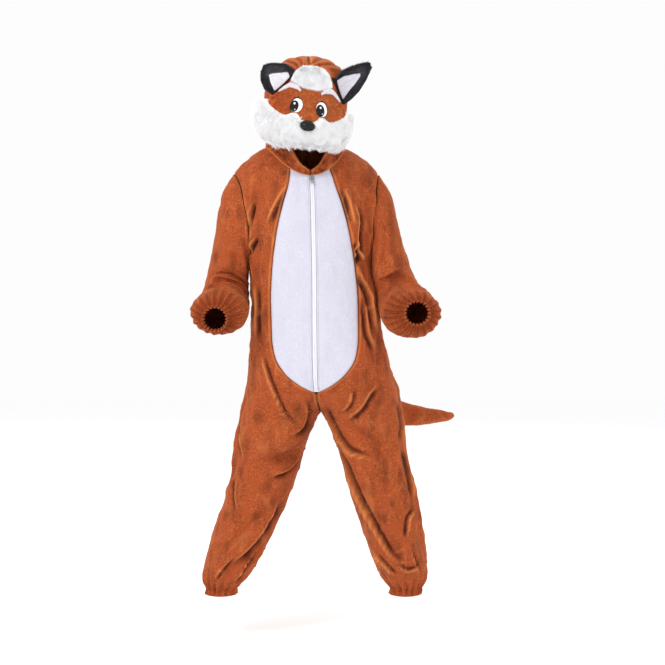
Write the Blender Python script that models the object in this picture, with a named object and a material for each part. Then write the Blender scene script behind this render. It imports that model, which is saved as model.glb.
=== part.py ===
"""A worn fox costume: hooded jumpsuit of velour with a white zipped tummy, a stuffed fox head and a tail.

Every size below is in millimetres and the model is built in metres. +Z is up, the front faces -Y and
the wearer's left is +X. The origin is at the base of the neck, where the wearer carries the suit.
A cloth surface is a function of two numbers, its rows come from the tables, and each panel is a wall
between that surface and the same surface moved in by the cloth's thickness.
"""

from collections import namedtuple

import bmesh
import bpy
import numpy as np

MM = 0.001
VELOUR = 2.0      # thickness of the brown cloth
FLEECE = 1.6      # thickness of the white tummy cloth
SEAM = 0.3        # gap between two pieces sewn together
EDGE_STEP = 1e-3  # step used to measure a surface's slopes

NECK_Z, HEM_Z = 20.0, -1056.0
SHOULDER_Z, ARMPIT_Z = -45.0, -255.0
CROTCH_Z = -607.0
TUMMY_END_Z = -556.0
ARM_STEPS = 8     # rows down the armhole, and half the columns round the sleeve
ARM_REACH = 0.155  # half the armhole's width, as a share of the half ring
ZIP_HALF = 5.0    # half the zip's width between the two tummy panels

# One half of the suit, at each height. centre: how far the ring's middle lies from the body's middle
# plane, wide: to the side, front and back: depths, dip: how much lower the row is at the front
# middle, square: 2 is an ellipse.
Suit = namedtuple("Suit", "z centre shift wide front back dip square")
SUIT = [
    Suit(20, 0, 0, 94, 78, 62, 68, 2.0),
    Suit(5, 0, 0, 120, 86, 70, 56, 2.0),
    Suit(-10, 0, 0, 142, 91, 76, 46, 2.0),
    Suit(-28, 0, 0, 160, 95, 82, 38, 2.0),
    Suit(-45, 0, 0, 171, 98, 86, 30, 2.0),
    Suit(-100, 0, 0, 168, 103, 94, 14, 2.15),
    Suit(-180, 0, 0, 158, 108, 98, 0, 2.3),
    Suit(-255, 0, 0, 148, 111, 98, 0, 2.3),
    Suit(-330, 0, 0, 149, 113, 97, 0, 2.3),
    Suit(-400, 0, 0, 154, 115, 99, 0, 2.3),
    Suit(-463, 6, 0, 157, 118, 108, 0, 2.3),
    Suit(-520, 30, 0, 142, 116, 116, 0, 2.2),
    Suit(-559, 60, 2, 122, 111, 116, 0, 2.1),
    Suit(-590, 84, 4, 105, 105, 110, 0, 2.0),
    Suit(-607, 97, 5, 97, 101, 106, 0, 2.0),
    Suit(-655, 113, 6, 88, 94, 98, 0, 2.0),
    Suit(-703, 123, 6, 82, 89, 93, 0, 2.0),
    Suit(-823, 155, 8, 77, 82, 86, 0, 2.0),
    Suit(-919, 186, 10, 71, 74, 80, 0, 2.0),
    Suit(-991, 209, 12, 61, 66, 74, 0, 2.0),
    Suit(-1015, 217, 12, 53, 60, 66, 0, 2.0),
    Suit(-1033, 222, 12, 41, 46, 50, 0, 2.0),
    Suit(-1041, 223, 12, 35, 39, 41, 0, 2.0),
    Suit(-1056, 223, 12, 38, 42, 44, 0, 2.0),
]

# How the wearer stands: the rings are shifted sideways and turned about the upright.
Stance = namedtuple("Stance", "z sway yaw")
STANCE = [
    Stance(260, -18, 5), Stance(60, -20, 7), Stance(0, -17, 8), Stance(-250, -4, 4), Stance(-420, 9, -2),
    Stance(-560, 19, -6), Stance(-700, 20, -5), Stance(-900, 13, -2), Stance(-1056, 0, 0),
]

# Half width of the white tummy panel, measured sideways from the zip.
Tummy = namedtuple("Tummy", "z half")
TUMMY = [
    Tummy(20, 46), Tummy(-45, 55), Tummy(-110, 70), Tummy(-200, 88), Tummy(-276, 98), Tummy(-345, 102),
    Tummy(-430, 101), Tummy(-475, 94), Tummy(-511, 72), Tummy(-537, 42), Tummy(-549, 22), Tummy(-556, 6),
]

# Soft folds of the suit. From (t1, z1) to (t2, z2): t is 0 at the front middle or front inseam, 0.5 at
# the side and 1 at the back middle. high is below 0 for a trough.
Fold = namedtuple("Fold", "t1 z1 t2 z2 spread high")
FOLDS_BOTH = [
    Fold(0.34, -60, 0.36, -235, 20, 10), Fold(0.29, -80, 0.33, -215, 14, -9),
    Fold(0.62, -70, 0.64, -235, 22, 9), Fold(0.76, -90, 0.70, -260, 22, -8),
    Fold(0.86, -330, 0.60, -400, 18, 8), Fold(0.90, -380, 0.62, -450, 18, -6),
    Fold(0.55, -520, 0.72, -640, 26, 9), Fold(0.66, -540, 0.86, -640, 24, -9),
    Fold(0.80, -700, 0.62, -820, 24, 9), Fold(0.72, -860, 0.90, -960, 22, -8),
]
FOLDS_LEFT = [
    Fold(0.30, -330, 0.36, -420, 18, 9), Fold(0.40, -400, 0.30, -520, 20, -8),
    Fold(0.10, -640, 0.34, -720, 18, -14), Fold(0.10, -690, 0.22, -900, 22, 14),
    Fold(0.22, -900, 0.36, -985, 18, 12), Fold(0.44, -760, 0.40, -900, 18, 9),
    Fold(0.05, -930, 0.22, -1010, 14, 10),
]
FOLDS_RIGHT = [
    Fold(0.36, -300, 0.33, -420, 16, 8), Fold(0.40, -560, 0.33, -660, 16, -10),
    Fold(0.05, -655, 0.20, -690, 20, 14), Fold(0.03, -700, 0.24, -735, 16, -14),
    Fold(0.45, -640, 0.42, -760, 16, 10), Fold(0.10, -830, 0.26, -960, 20, -10),
    Fold(0.12, -900, 0.30, -1000, 16, 12), Fold(0.04, -930, 0.16, -1020, 12, 9),
]
ANKLE_GATHERS = 18  # gathers round one ankle elastic
WRIST_GATHERS = 20  # gathers round one wrist elastic

# Sleeve rings. across and deep are the ring's two radii, lift: how far the outer side is raised out
# of level, bend: 0 points the sleeve down and 90 forwards, in degrees.
Sleeve = namedtuple("Sleeve", "s x y z lift bend across deep")
SLEEVES = {
    "right": [
        Sleeve(0.00, -172, 0, -150, 80, 0, 105, 70), Sleeve(0.18, -186, 2, -172, 68, 2, 92, 68),
        Sleeve(0.36, -195, 5, -236, 50, 6, 62, 66), Sleeve(0.52, -203, 6, -290, 26, 20, 50, 66),
        Sleeve(0.66, -208, -6, -334, 8, 50, 54, 64), Sleeve(0.78, -214, -58, -362, 0, 78, 62, 56),
        Sleeve(0.88, -217, -104, -367, 0, 90, 66, 52), Sleeve(0.94, -220, -128, -372, 0, 94, 54, 43),
        Sleeve(0.975, -224, -136, -381, 0, 94, 27, 26), Sleeve(0.985, -225, -141, -382, 0, 94, 25, 25),
        Sleeve(1.00, -226, -152, -384, 0, 94, 29, 29),
    ],
    "left": [
        Sleeve(0.00, 150, 0, -150, 80, 0, 105, 70), Sleeve(0.18, 163, 0, -176, 72, 2, 90, 68),
        Sleeve(0.36, 174, -6, -236, 58, 8, 62, 66), Sleeve(0.52, 189, -16, -288, 28, 22, 48, 66),
        Sleeve(0.66, 204, -30, -330, 6, 50, 54, 66), Sleeve(0.78, 221, -76, -362, 0, 76, 62, 60),
        Sleeve(0.88, 230, -118, -370, 0, 88, 67, 56), Sleeve(0.94, 235, -143, -371, 0, 92, 56, 46),
        Sleeve(0.975, 241, -151, -368, 0, 92, 27, 26), Sleeve(0.985, 242, -156, -368, 0, 92, 25, 25),
        Sleeve(1.00, 243, -168, -368, 0, 92, 29, 29),
    ],
}
# Sleeve folds, from (s1, a1) to (s2, a2). a is in degrees: 0 outside, 90 front or top, 180 inside.
SleeveFold = namedtuple("SleeveFold", "s1 a1 s2 a2 spread high")
SLEEVE_FOLDS = {
    "right": [
        SleeveFold(0.50, 60, 0.54, 170, 14, -9), SleeveFold(0.60, 30, 0.62, 180, 12, 9),
        SleeveFold(0.67, 40, 0.66, 170, 10, -9), SleeveFold(0.72, 20, 0.71, 160, 10, 8),
        SleeveFold(0.77, 40, 0.76, 150, 9, -7), SleeveFold(0.20, 110, 0.42, 140, 14, -7),
        SleeveFold(0.25, 240, 0.55, 300, 16, 6), SleeveFold(0.55, 230, 0.62, 330, 14, -6),
    ],
    "left": [
        SleeveFold(0.56, 60, 0.60, 130, 14, -8), SleeveFold(0.66, 130, 0.69, 60, 10, -9),
        SleeveFold(0.72, 150, 0.74, 50, 12, 8), SleeveFold(0.20, 60, 0.50, 100, 14, 7),
        SleeveFold(0.25, 100, 0.52, 130, 12, -6), SleeveFold(0.80, 100, 0.84, 30, 12, -5),
        SleeveFold(0.25, 240, 0.55, 300, 16, 6), SleeveFold(0.55, 230, 0.62, 330, 14, -6),
    ],
}

# The hood continues the suit's rings upwards. open is half the face opening's width.
Hood = namedtuple("Hood", "z shift wide front back dip open")
HOOD = [
    Hood(20, 0, 94, 78, 62, 68, 0), Hood(28, -2, 92, 76, 65, 65, 0), Hood(36, -4, 91, 76, 68, 61, 20),
    Hood(48, -8, 90, 76, 74, 52, 36), Hood(66, -14, 91, 78, 82, 38, 46), Hood(84, -20, 94, 82, 89, 24, 30),
    Hood(92, -23, 95, 84, 92, 19, 0), Hood(115, -29, 98, 90, 98, 8, 0),
    Hood(140, -35, 98, 93, 100, 0, 0), Hood(165, -41, 95, 92, 98, 0, 0), Hood(180, -43, 91, 89, 95, 0, 0),
    Hood(205, -48, 79, 78, 83, 0, 0), Hood(225, -51, 60, 60, 64, 0, 0), Hood(238, -53, 38, 38, 41, 0, 0),
    Hood(244, -54, 16, 16, 18, 0, 0), Hood(245.5, -54, 0.6, 0.6, 0.6, 0, 0),
]

# The fox head stands in its own frame: x across, y back, z up from its middle.
FOX_MIDDLE = (-20.0, -42.0, 118.0)
FOX_PITCH, FOX_YAW, FOX_ROLL = 10.0, 7.0, 9.0  # nose down, towards the left arm, right ear up
Fox = namedtuple("Fox", "h wide front")
FOX = [
    Fox(-98, 96, 112), Fox(-84, 105, 124), Fox(-66, 112, 132), Fox(-40, 118, 137), Fox(-10, 118, 136),
    Fox(12, 112, 130), Fox(36, 105, 120), Fox(60, 99, 112), Fox(84, 88, 99), Fox(104, 76, 84),
    Fox(118, 62, 72),
]
MUZZLE_H, MUZZLE_HIGH, MUZZLE_WIDE, MUZZLE_TALL = -30.0, 26.0, 44.0, 34.0
ARM_CLEAR = 3.6   # least distance between the sleeve and the suit
FACE_LIFT = 0.5   # gap between the face and what is sewn on it
BROW_THICK = 1.2
MASK_LIFT = 1.1   # extra room between the mask's lower edge and the cheeks
LINING_LIFT = 0.6  # gap between an ear and its lining
TAIL_LIFT = 1.2    # gap between the suit's back and the tail
EAR_DROP = 0.6    # how much closer to the hood an ear's root lies than the stuffed pieces
HOOD_CLEAR = 0.8  # the stuffed head's inside stands this far off the hood

THIN = 3.0        # a stuffed piece's thickness at its rounded edges
RUFF_TURN = 94.0  # how far the white cheeks run round the head

# Edges of the face pieces: heights at each turn from the middle (degrees, wearer's left is positive).
Line = namedtuple("Line", "turn h")
MASK_LOW = [
    Line(-56, 5), Line(-48, -1), Line(-22, -18), Line(-18, -15), Line(-14, -10), Line(-10, -10),
    Line(-5.5, -21), Line(0, -22), Line(5.5, -21), Line(10, -10), Line(14, -10), Line(18, -15),
    Line(22, -18), Line(48, -1), Line(56, 5),
]
MASK_HIGH = [
    Line(-56, 12), Line(-46, 16), Line(-37, 34), Line(-30, 49), Line(-24, 59), Line(-18, 57), Line(-10, 51),
    Line(0, 50), Line(10, 51), Line(18, 57), Line(24, 59), Line(30, 49), Line(37, 34), Line(46, 16),
    Line(56, 12),
]
RUFF_LOW = [Line(-94, -66), Line(-70, -84), Line(-45, -93), Line(-11, -87), Line(13, -81), Line(45, -83),
            Line(66, -84), Line(94, -70)]
RUFF_HIGH = [Line(-94, -8), *MASK_LOW, Line(94, -8)]
TUFT_HIGH = [Line(-27, 70), Line(-22, 86), Line(-12, 95), Line(0, 97), Line(12, 95), Line(22, 86), Line(27, 70)]
HEAD_TURNS = [0, 5.5, 10, 14, 18, 22, 27, 33, 40, 48, 56]  # columns of the face's pieces, each way

# Pieces sewn flat on the face. turn and h: the middle, half_turn and half_h: half sizes in degrees and mm.
Patch = namedtuple("Patch", "turn h half_turn half_h thick bulge")
EYES = {"right": Patch(-12.5, 9, 6.0, 17, 1.2, 0), "left": Patch(12.5, 9, 6.0, 17, 1.2, 0)}
PUPILS = {"right": Patch(-14.6, 6, 3.6, 11.5, 1.0, 0.8), "left": Patch(10.2, 6, 3.6, 11.5, 1.0, 0.8)}
NOSE = Patch(0.2, -32, 6.2, 12.5, 5.0, 13.0)
BROW = [(11.5, 41, 2.5), (17, 48, 5.0), (24, 49, 5.5), (31, 41, 4.5), (37, 30, 2.0)]  # turn, h, half height

# Ear edges in the head's own frame, root first: (x, y, z) of the outer edge and of the inner edge.
Ear = namedtuple("Ear", "outer inner")
EARS = {
    "right": [
        Ear((-85, -62, 17), (-49, -80, 66)), Ear((-103, -54, 25), (-47, -76, 83)),
        Ear((-114, -45, 44), (-64, -59, 90)), Ear((-116, -38, 62), (-85, -44, 88)),
        Ear((-112, -33, 78), (-101, -35, 84)),
    ],
    "left": [
        Ear((87, -58, 21), (56, -74, 76)), Ear((103, -54, 37), (68, -60, 97)),
        Ear((117, -48, 56), (88, -51, 110)), Ear((130, -40, 84), (111, -42, 121)),
        Ear((139, -30, 115), (131, -33, 126)),
    ],
}
# The white lining in an ear: row of the table above, and where it starts and ends across the ear.
Lining = namedtuple("Lining", "row start end")
LININGS = {
    "right": [Lining(0.1, 0.18, 0.92), Lining(1, 0.25, 0.82), Lining(1.5, 0.28, 0.64), Lining(1.95, 0.32, 0.42)],
    "left": [Lining(0.1, 0.20, 0.92), Lining(1, 0.28, 0.80), Lining(2, 0.36, 0.68), Lining(2.6, 0.45, 0.56)],
}
EAR_THICK, EAR_CUP, LINING_THICK = 9.0, 5.0, 1.6

# The stuffed tail: its middle line and half thickness. The first ring lies on the suit's back.
Tail = namedtuple("Tail", "x y z half")
TAIL = [
    Tail(40, 118, -530, 32), Tail(58, 141, -556, 41), Tail(92, 160, -582, 43), Tail(145, 174, -612, 39),
    Tail(216, 182, -635, 31), Tail(290, 188, -642, 20), Tail(332, 190, -642, 13), Tail(349, 190, -641, 7),
    Tail(354, 190, -641, 1.5),
]

ZIP_THICK, ZIP_DROP = 1.2, 0.5   # the zip's tape, and how far it lies below the fleece
SLIDER_Z = -8.0                  # row of the suit where the slider stands
SLIDER = (4.4, 6.2, 2.6)         # half width, half height and thickness of the slider's plate
BAIL_WIRE, BAIL_HIGH, BAIL_OUT = 0.8, 3.4, 3.4  # half the wire, inner half height, inner reach off the plate
HINGE_UP, HINGE_OUT = 2.0, 1.7   # the pull tab's hinge line, from the slider's middle and off its plate
PULL_ACROSS = [-3.2, -1.6, 1.6, 3.2]  # the pull tab's edges and its slot, across
PULL_UP = [2.8, 1.2, -6.2, -18.0]     # top, slot's top, slot's bottom, bottom
PULL_THICK = 1.2


def smooth(table, column, at):
    """A column of a table as a smooth curve of the table's first column, with no overshoot."""
    rows = sorted(table)
    x = np.array([row[0] for row in rows], float)
    y = np.array([getattr(row, column) for row in rows], float)
    slope = np.diff(y) / np.diff(x)
    inner = np.where(slope[1:] * slope[:-1] > 0, 2 * slope[1:] * slope[:-1] / (slope[1:] + slope[:-1] + 1e-12), 0)
    tangent = np.concatenate([slope[:1], inner, slope[-1:]])
    at = np.clip(np.asarray(at, float), x[0], x[-1])
    k = np.clip(np.searchsorted(x, at) - 1, 0, len(x) - 2)
    width = x[k + 1] - x[k]
    f = (at - x[k]) / width
    return (
        y[k] * (1 + 2 * f) * (1 - f) ** 2 + tangent[k] * width * f * (1 - f) ** 2
        + y[k + 1] * f * f * (3 - 2 * f) + tangent[k + 1] * width * f * f * (f - 1)
    )


def unit(vectors):
    return vectors / np.maximum(np.linalg.norm(vectors, axis=-1, keepdims=True), 1e-9)


def powered(value, square):
    return np.sign(value) * np.abs(value) ** (2 / square)


def stand(points):
    """Shifts and turns points to the wearer's stance at their height."""
    z = points[..., 2]
    yaw = np.radians(smooth(STANCE, "yaw", z))
    x = points[..., 0] * np.cos(yaw) - points[..., 1] * np.sin(yaw) + smooth(STANCE, "sway", z)
    y = points[..., 0] * np.sin(yaw) + points[..., 1] * np.cos(yaw)
    return np.stack([x, y, z], -1)


def ridge(u, v, u1, v1, u2, v2, spread, high):
    """Height of one fold at (u, v), in mm on both axes: a soft ridge that fades out at its ends."""
    du, dv = u2 - u1, v2 - v1
    length = np.hypot(du, dv)
    along = ((u - u1) * du + (v - v1) * dv) / length**2
    off = ((u - u1) * dv - (v - v1) * du) / length
    ends = np.clip(1.25 - np.abs(along - 0.5) * 2, 0, 1)
    return high * np.exp(-((off / spread) ** 2)) * ends * ends * (3 - 2 * ends)


def suit_folds(t, z, side):
    """All folds of one half of the suit. A half ring counts as 480 mm long."""
    folds = FOLDS_BOTH + (FOLDS_LEFT if side > 0 else FOLDS_RIGHT)
    total = np.zeros(np.broadcast(t, z).shape)
    for f in folds:
        total = total + ridge(t * 480, z, f.t1 * 480, f.z1, f.t2 * 480, f.z2, f.spread, f.high)
    seams = np.clip(np.minimum(t, 1 - t) / 0.06, 0, 1)
    near_hem = np.clip((z - HEM_Z - 20) / 40, 0, 1)
    return total * seams * near_hem


def ankle_gathers(t, z):
    """Gathers drawn up by the ankle elastic, deepest just above it."""
    deep = 3.2 * np.exp(-(((z + 1024) / 20) ** 2)) + 2.2 * (z < -1036) + 0.8
    return deep * np.cos(2 * np.pi * ANKLE_GATHERS * t) * (z < -985)


def suit_base(t, z, side):
    """A point of the suit before folds. t runs 0 to 1 from the front middle round the side to the back."""
    t, z = np.broadcast_arrays(np.asarray(t, float), np.asarray(z, float))
    centre, wide, square = (smooth(SUIT, c, z) for c in ("centre", "wide", "square"))
    front, back = smooth(SUIT, "front", z), smooth(SUIT, "back", z)
    half_turn = np.pi - np.arccos(np.clip(centre / wide, 0, 1) ** (square / 2))
    share = 2 * t - 1
    turn = share * np.pi / 2 + (half_turn - np.pi / 2) * share * np.abs(share)
    x = np.maximum(centre + wide * powered(np.cos(turn), square), SEAM / 2)
    depth = np.where(turn < 0, front, back)
    y = smooth(SUIT, "shift", z) + depth * powered(np.sin(turn), square)
    lower = smooth(SUIT, "dip", z) * np.cos(np.pi * np.minimum(t, 0.5)) ** 2
    return np.stack([side * x, y, z - lower], -1)


def normals(surface, u, v):
    """Outward unit normals of surface(u, v), from its slopes."""
    du = surface(u + EDGE_STEP, v) - surface(u - EDGE_STEP, v)
    dv = surface(u, v + 1.0) - surface(u, v - 1.0)
    return unit(np.cross(du, dv))


def suit(t, z, side):
    """Outer point, and the way out of the cloth, for one half of the suit."""
    t, z = np.broadcast_arrays(np.asarray(t, float), np.asarray(z, float))
    inside = np.clip(t, 2 * EDGE_STEP, 1 - 2 * EDGE_STEP)
    level = np.clip(z, HEM_Z + 1, NECK_Z - 1)
    out = normals(lambda u, v: suit_base(u, v, side), inside, level) * side
    base = suit_base(t, z, side)
    height = suit_folds(t, z, side) + ankle_gathers(t, z)
    return stand(base + out * height[..., None]), unit(stand(base + out) - stand(base))


def armhole(z):
    """Half the armhole's width at height z, as a share of the half ring."""
    middle, half = (SHOULDER_Z + ARMPIT_Z) / 2, (SHOULDER_Z - ARMPIT_Z) / 2
    return ARM_REACH * np.sqrt(np.clip(1 - ((z - middle) / half) ** 2, 0, 1))


def front_share(half, z):
    """t of the point on the front that lies half from the body's middle plane at height z."""
    centre, wide, square = (smooth(SUIT, c, z) for c in ("centre", "wide", "square"))
    half_turn = np.pi - np.arccos(np.clip(centre / wide, 0, 1) ** (square / 2))
    turn = np.arccos(np.clip(powered((half - centre) / wide, 4 / square), -1, 1))
    extra = half_turn - np.pi / 2
    straight = np.pi / 2
    share = (np.sqrt(straight**2 + 4 * extra * turn) - straight) / np.maximum(2 * extra, 1e-6)
    share = np.where(extra < 1e-4, turn / straight, share)
    return 0.5 * (1 - share)


def tummy_edge(z):
    return front_share(smooth(TUMMY, "half", z), z)


def zip_edge(z):
    return front_share(ZIP_HALF, z)


def mesh_object(name, points, faces, paint):
    """A named object from points in millimetres and faces, with doubled points merged."""
    mesh = bpy.data.meshes.new(name)
    mesh.from_pydata([tuple(p) for p in np.asarray(points) * MM], [], faces)
    work = bmesh.new()
    work.from_mesh(mesh)
    bmesh.ops.remove_doubles(work, verts=work.verts, dist=2e-6)
    bmesh.ops.dissolve_degenerate(work, dist=1e-6, edges=work.edges)
    bmesh.ops.delete(work, geom=[e for e in work.edges if not e.link_faces], context="EDGES")
    bmesh.ops.triangulate(work, faces=work.faces)
    bmesh.ops.recalc_face_normals(work, faces=work.faces)
    if work.calc_volume(signed=True) < 0:
        bmesh.ops.reverse_faces(work, faces=work.faces)
    work.to_mesh(mesh)
    work.free()
    mesh.shade_smooth()
    mesh.set_sharp_from_angle(angle=np.radians(50))
    mesh.materials.append(paint)
    made = bpy.data.objects.new(name, mesh)
    bpy.context.scene.collection.objects.link(made)
    return made


def band(first, second, count_first, count_second):
    """Faces between two rows of points. A row may have twice the steps of the one before it."""
    if count_first == count_second:
        return [(first + k, first + k + 1, second + k + 1, second + k) for k in range(count_first - 1)]
    faces = []
    for k in range(count_first - 1):
        faces.append((first + k, second + 2 * k + 1, second + 2 * k))
        faces.append((first + k, first + k + 1, second + 2 * k + 1))
        faces.append((first + k + 1, second + 2 * k + 2, second + 2 * k + 1))
    return faces


def wall(name, outer, inner, paint, ring=False):
    """A closed wall between outer and inner rows of points. ring joins each row's ends together."""
    counts = [len(row) for row in outer]
    starts = np.concatenate([[0], np.cumsum(counts)])
    total = starts[-1]
    faces = []
    for r in range(len(counts) - 1):
        for base in (0, total):
            a, b = starts[r] + base, starts[r + 1] + base
            faces += [tuple(int(i) for i in face) for face in band(a, b, counts[r], counts[r + 1])]
    for r in (0, len(counts) - 1):
        a = starts[r]
        faces += [(int(a + k), int(a + k + 1), int(a + total + k + 1), int(a + total + k))
                  for k in range(counts[r] - 1)]
    if not ring:
        for r in range(len(counts) - 1):
            for column in (0, -1):
                a = starts[r] + (counts[r] - 1 if column else 0)
                b = starts[r + 1] + (counts[r + 1] - 1 if column else 0)
                faces.append((int(a), int(b), int(b + total), int(a + total)))
    return mesh_object(name, np.concatenate([*outer, *inner]), faces, paint)


def panel(name, surface, thick, rows, low, high, columns, paint, trim=(1, 1, 1, 1)):
    """A cloth panel of surface(t, row), between t = low and t = high on each row.

    columns gives each row's steps. trim says which edges (start, end, first row, last row) are drawn
    in by half a seam."""
    outer, inner = [], []
    for k, row in enumerate(rows):
        t = low(row) + (high(row) - low(row)) * np.linspace(0, 1, columns[k] + 1)
        points, out = surface(t, np.full(t.shape, float(row)))
        along = unit(np.gradient(points, axis=0))
        shift = np.zeros_like(points)
        shift[0] += along[0] * SEAM / 2 * trim[0]
        shift[-1] -= along[-1] * SEAM / 2 * trim[1]
        for at, ahead, wanted in ((0, 1, trim[2]), (len(rows) - 1, -2, trim[3])):
            if k == at and wanted:
                towards = surface(t, np.full(t.shape, float(rows[ahead])))[0] - points
                shift += unit(towards) * SEAM / 2
        outer.append(points + shift)
        inner.append(points + shift - out * thick)
    return wall(name, outer, inner, paint)


def arm_heights():
    """Heights of the rows down the armhole, closest together at its two ends."""
    middle, half = (SHOULDER_Z + ARMPIT_Z) / 2, (SHOULDER_Z - ARMPIT_Z) / 2
    return middle + half * np.cos(np.pi * np.arange(ARM_STEPS + 1) / ARM_STEPS)


def suit_rows():
    above = [NECK_Z, 0, -22]
    trunk = [-295, -340, -385, -430, -468, -498, -520, -537, -549, TUMMY_END_Z, TUMMY_END_Z - 6]
    fork = [-578, -594, -603, CROTCH_Z]
    leg = [-635, -672, -715, -760, -805, -850, -895, -935, -970]
    ankle = [-996, -1012, -1024, -1034, -1044, HEM_Z]
    return [*above, *arm_heights(), *trunk, *fork, *leg, *ankle]


def build_suit(velour, fleece):
    """Two fronts and two backs, each cut in one from neck to ankle, and the tummy's two halves."""
    rows = suit_rows()
    end = rows.index(TUMMY_END_Z)
    steps = {"front": 9, "back": 7}
    for side, word in ((1, "left"), (-1, "right")):
        def surface(t, z, side=side):
            return suit(t, z, side)

        def front_low(z):
            return tummy_edge(z) if z >= TUMMY_END_Z else 0.0

        def front_high(z):
            return 0.5 - float(armhole(z))

        def back_low(z):
            return 0.5 + float(armhole(z))

        columns = {part: [n * (2 if z < -1007 else 1) for z in rows] for part, n in steps.items()}
        panel(f"front_{word}", surface, VELOUR, rows, front_low, front_high, columns["front"], velour)
        panel(f"back_{word}", surface, VELOUR, rows, back_low, lambda z: 1.0, columns["back"], velour)

        panel(f"tummy_{word}", surface, FLEECE, rows[: end + 1], zip_edge, lambda z: float(tummy_edge(z)),
              [3] * (end + 1), fleece)


def sleeve_ring(s, angle, word):
    """A plain ring of the sleeve at s, and the way out of the cloth. angle 0 is outside, 90 front."""
    side = 1 if word == "left" else -1
    table = SLEEVES[word]
    x, y, z, lift, bend, across, deep = (
        smooth(table, c, s) for c in ("x", "y", "z", "lift", "bend", "across", "deep")
    )
    lift, bend = np.radians(lift), np.radians(bend)
    zero = np.zeros_like(lift)
    outward = np.stack([side * np.cos(lift), zero, np.sin(lift)], -1)
    down = np.stack([side * np.sin(lift), zero, -np.cos(lift)], -1)
    forward = np.stack([zero, zero - 1, zero], -1)
    upper = forward * np.cos(bend)[..., None] - down * np.sin(bend)[..., None]
    c, d = np.cos(angle), np.sin(angle)
    middle = np.stack([x, y, z], -1)
    return middle + outward * (across * c)[..., None] + upper * (deep * d)[..., None]


def armhole_ring(angle, side):
    """The armhole's edge on the suit: outer points, and the way out of the suit's cloth."""
    middle, half = (SHOULDER_Z + ARMPIT_Z) / 2, (SHOULDER_Z - ARMPIT_Z) / 2
    return suit(0.5 - ARM_REACH * np.sin(angle), middle + half * np.cos(angle), side)


def clear_of_suit(points, side, clear):
    """Moves points sideways, where they need it, to stand at least clear off the suit's outside."""
    z = points[:, 2]
    yaw = np.radians(smooth(STANCE, "yaw", z))
    x, y = points[:, 0] - smooth(STANCE, "sway", z), points[:, 1]
    across, back = x * np.cos(yaw) + y * np.sin(yaw), y * np.cos(yaw) - x * np.sin(yaw)
    wide, square, centre = (smooth(SUIT, c, z) for c in ("wide", "square", "centre"))
    back = back - smooth(SUIT, "shift", z)
    depth = np.where(back < 0, smooth(SUIT, "front", z), smooth(SUIT, "back", z))
    share = np.clip(np.abs(back) / (depth + clear), 0, 1)
    turn = np.arcsin(share ** (square / 2)) * np.sign(back)
    fold = suit_folds(0.5 * (1 + turn / (np.pi / 2)), z, side)
    reach = centre + (wide + clear + np.maximum(fold, 0)) * np.cos(turn) ** (2 / square)
    short = np.where((share < 1) & (z < 0), np.maximum(reach - side * across, 0), 0)
    moved = points.copy()
    moved[:, 0] += side * short * np.cos(yaw)
    moved[:, 1] += side * short * np.sin(yaw)
    return moved


def sleeve(s, angle, word):
    """Outer points of the sleeve: the armhole's edge, eased into the plain rings further down."""
    side = 1 if word == "left" else -1
    s, angle = np.broadcast_arrays(np.asarray(s, float), np.asarray(angle, float))
    edge = armhole_ring(angle.ravel(), side)[0]
    ease = np.clip(s / 0.34, 0, 1)
    ease = (ease * ease * (3 - 2 * ease))[..., None]
    return edge.reshape(*s.shape, 3) * (1 - ease) + sleeve_ring(s, angle, word) * ease


def sleeve_folds(s, angle, word):
    """Folds and wrist gathers of a sleeve, in mm. The sleeve counts as 560 mm long and 360 round."""
    degrees = np.degrees(angle) % 360
    total = np.zeros(s.shape)
    for f in SLEEVE_FOLDS[word]:
        total = total + ridge(degrees, s * 560, f.a1, f.s1 * 560, f.a2, f.s2 * 560, f.spread, f.high)
    body = np.clip((s - 0.12) / 0.1, 0, 1) * np.clip((0.9 - s) / 0.06, 0, 1)
    drawn = np.clip((s - 0.86) / 0.08, 0, 1) * np.where(s > 0.965, 1.6, 3.4)
    return total * body + drawn * np.cos(WRIST_GATHERS * angle)


def build_sleeves(velour):
    """Each sleeve is one tube with its seam under the arm, from the armhole to the wrist elastic."""
    steps = 2 * ARM_STEPS
    stations = [0, 0.045, 0.11, 0.19, 0.28, 0.37, 0.45, 0.52, 0.57, 0.61, 0.65, 0.69, 0.73, 0.78, 0.83,
                0.88, 0.92, 0.95, 0.972, 0.985, 1.0]
    for side, word in ((1, "left"), (-1, "right")):
        outer, inner = [], []
        for s in stations:
            count = steps * (2 if s > 0.86 else 1)
            angle = np.pi + 2 * np.pi * np.arange(count + 1) / count
            across = np.full(angle.shape, s)
            points = sleeve(across, angle, word)
            step = 0.004
            ahead = sleeve(np.clip(across + step, 0, 1), angle, word)
            behind = sleeve(np.clip(across - step, 0, 1), angle, word)
            round_it = sleeve(across, angle + 0.02, word) - sleeve(across, angle - 0.02, word)
            out = unit(np.cross(round_it, ahead - behind)) * -side
            if s == 0:
                out = armhole_ring(angle, side)[1]
                points = points + out * (SEAM + VELOUR)
            points = points + out * sleeve_folds(across, angle, word)[:, None]
            along = unit(np.gradient(points, axis=0))
            points[0] += along[0] * SEAM / 2
            points[-1] -= along[-1] * SEAM / 2
            within = points - out * VELOUR
            if s > 0:
                points = clear_of_suit(points, side, VELOUR + ARM_CLEAR)
                within = clear_of_suit(within, side, ARM_CLEAR)
            outer.append(points)
            inner.append(within)
        wall(f"sleeve_{word}", outer, inner, velour)


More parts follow.
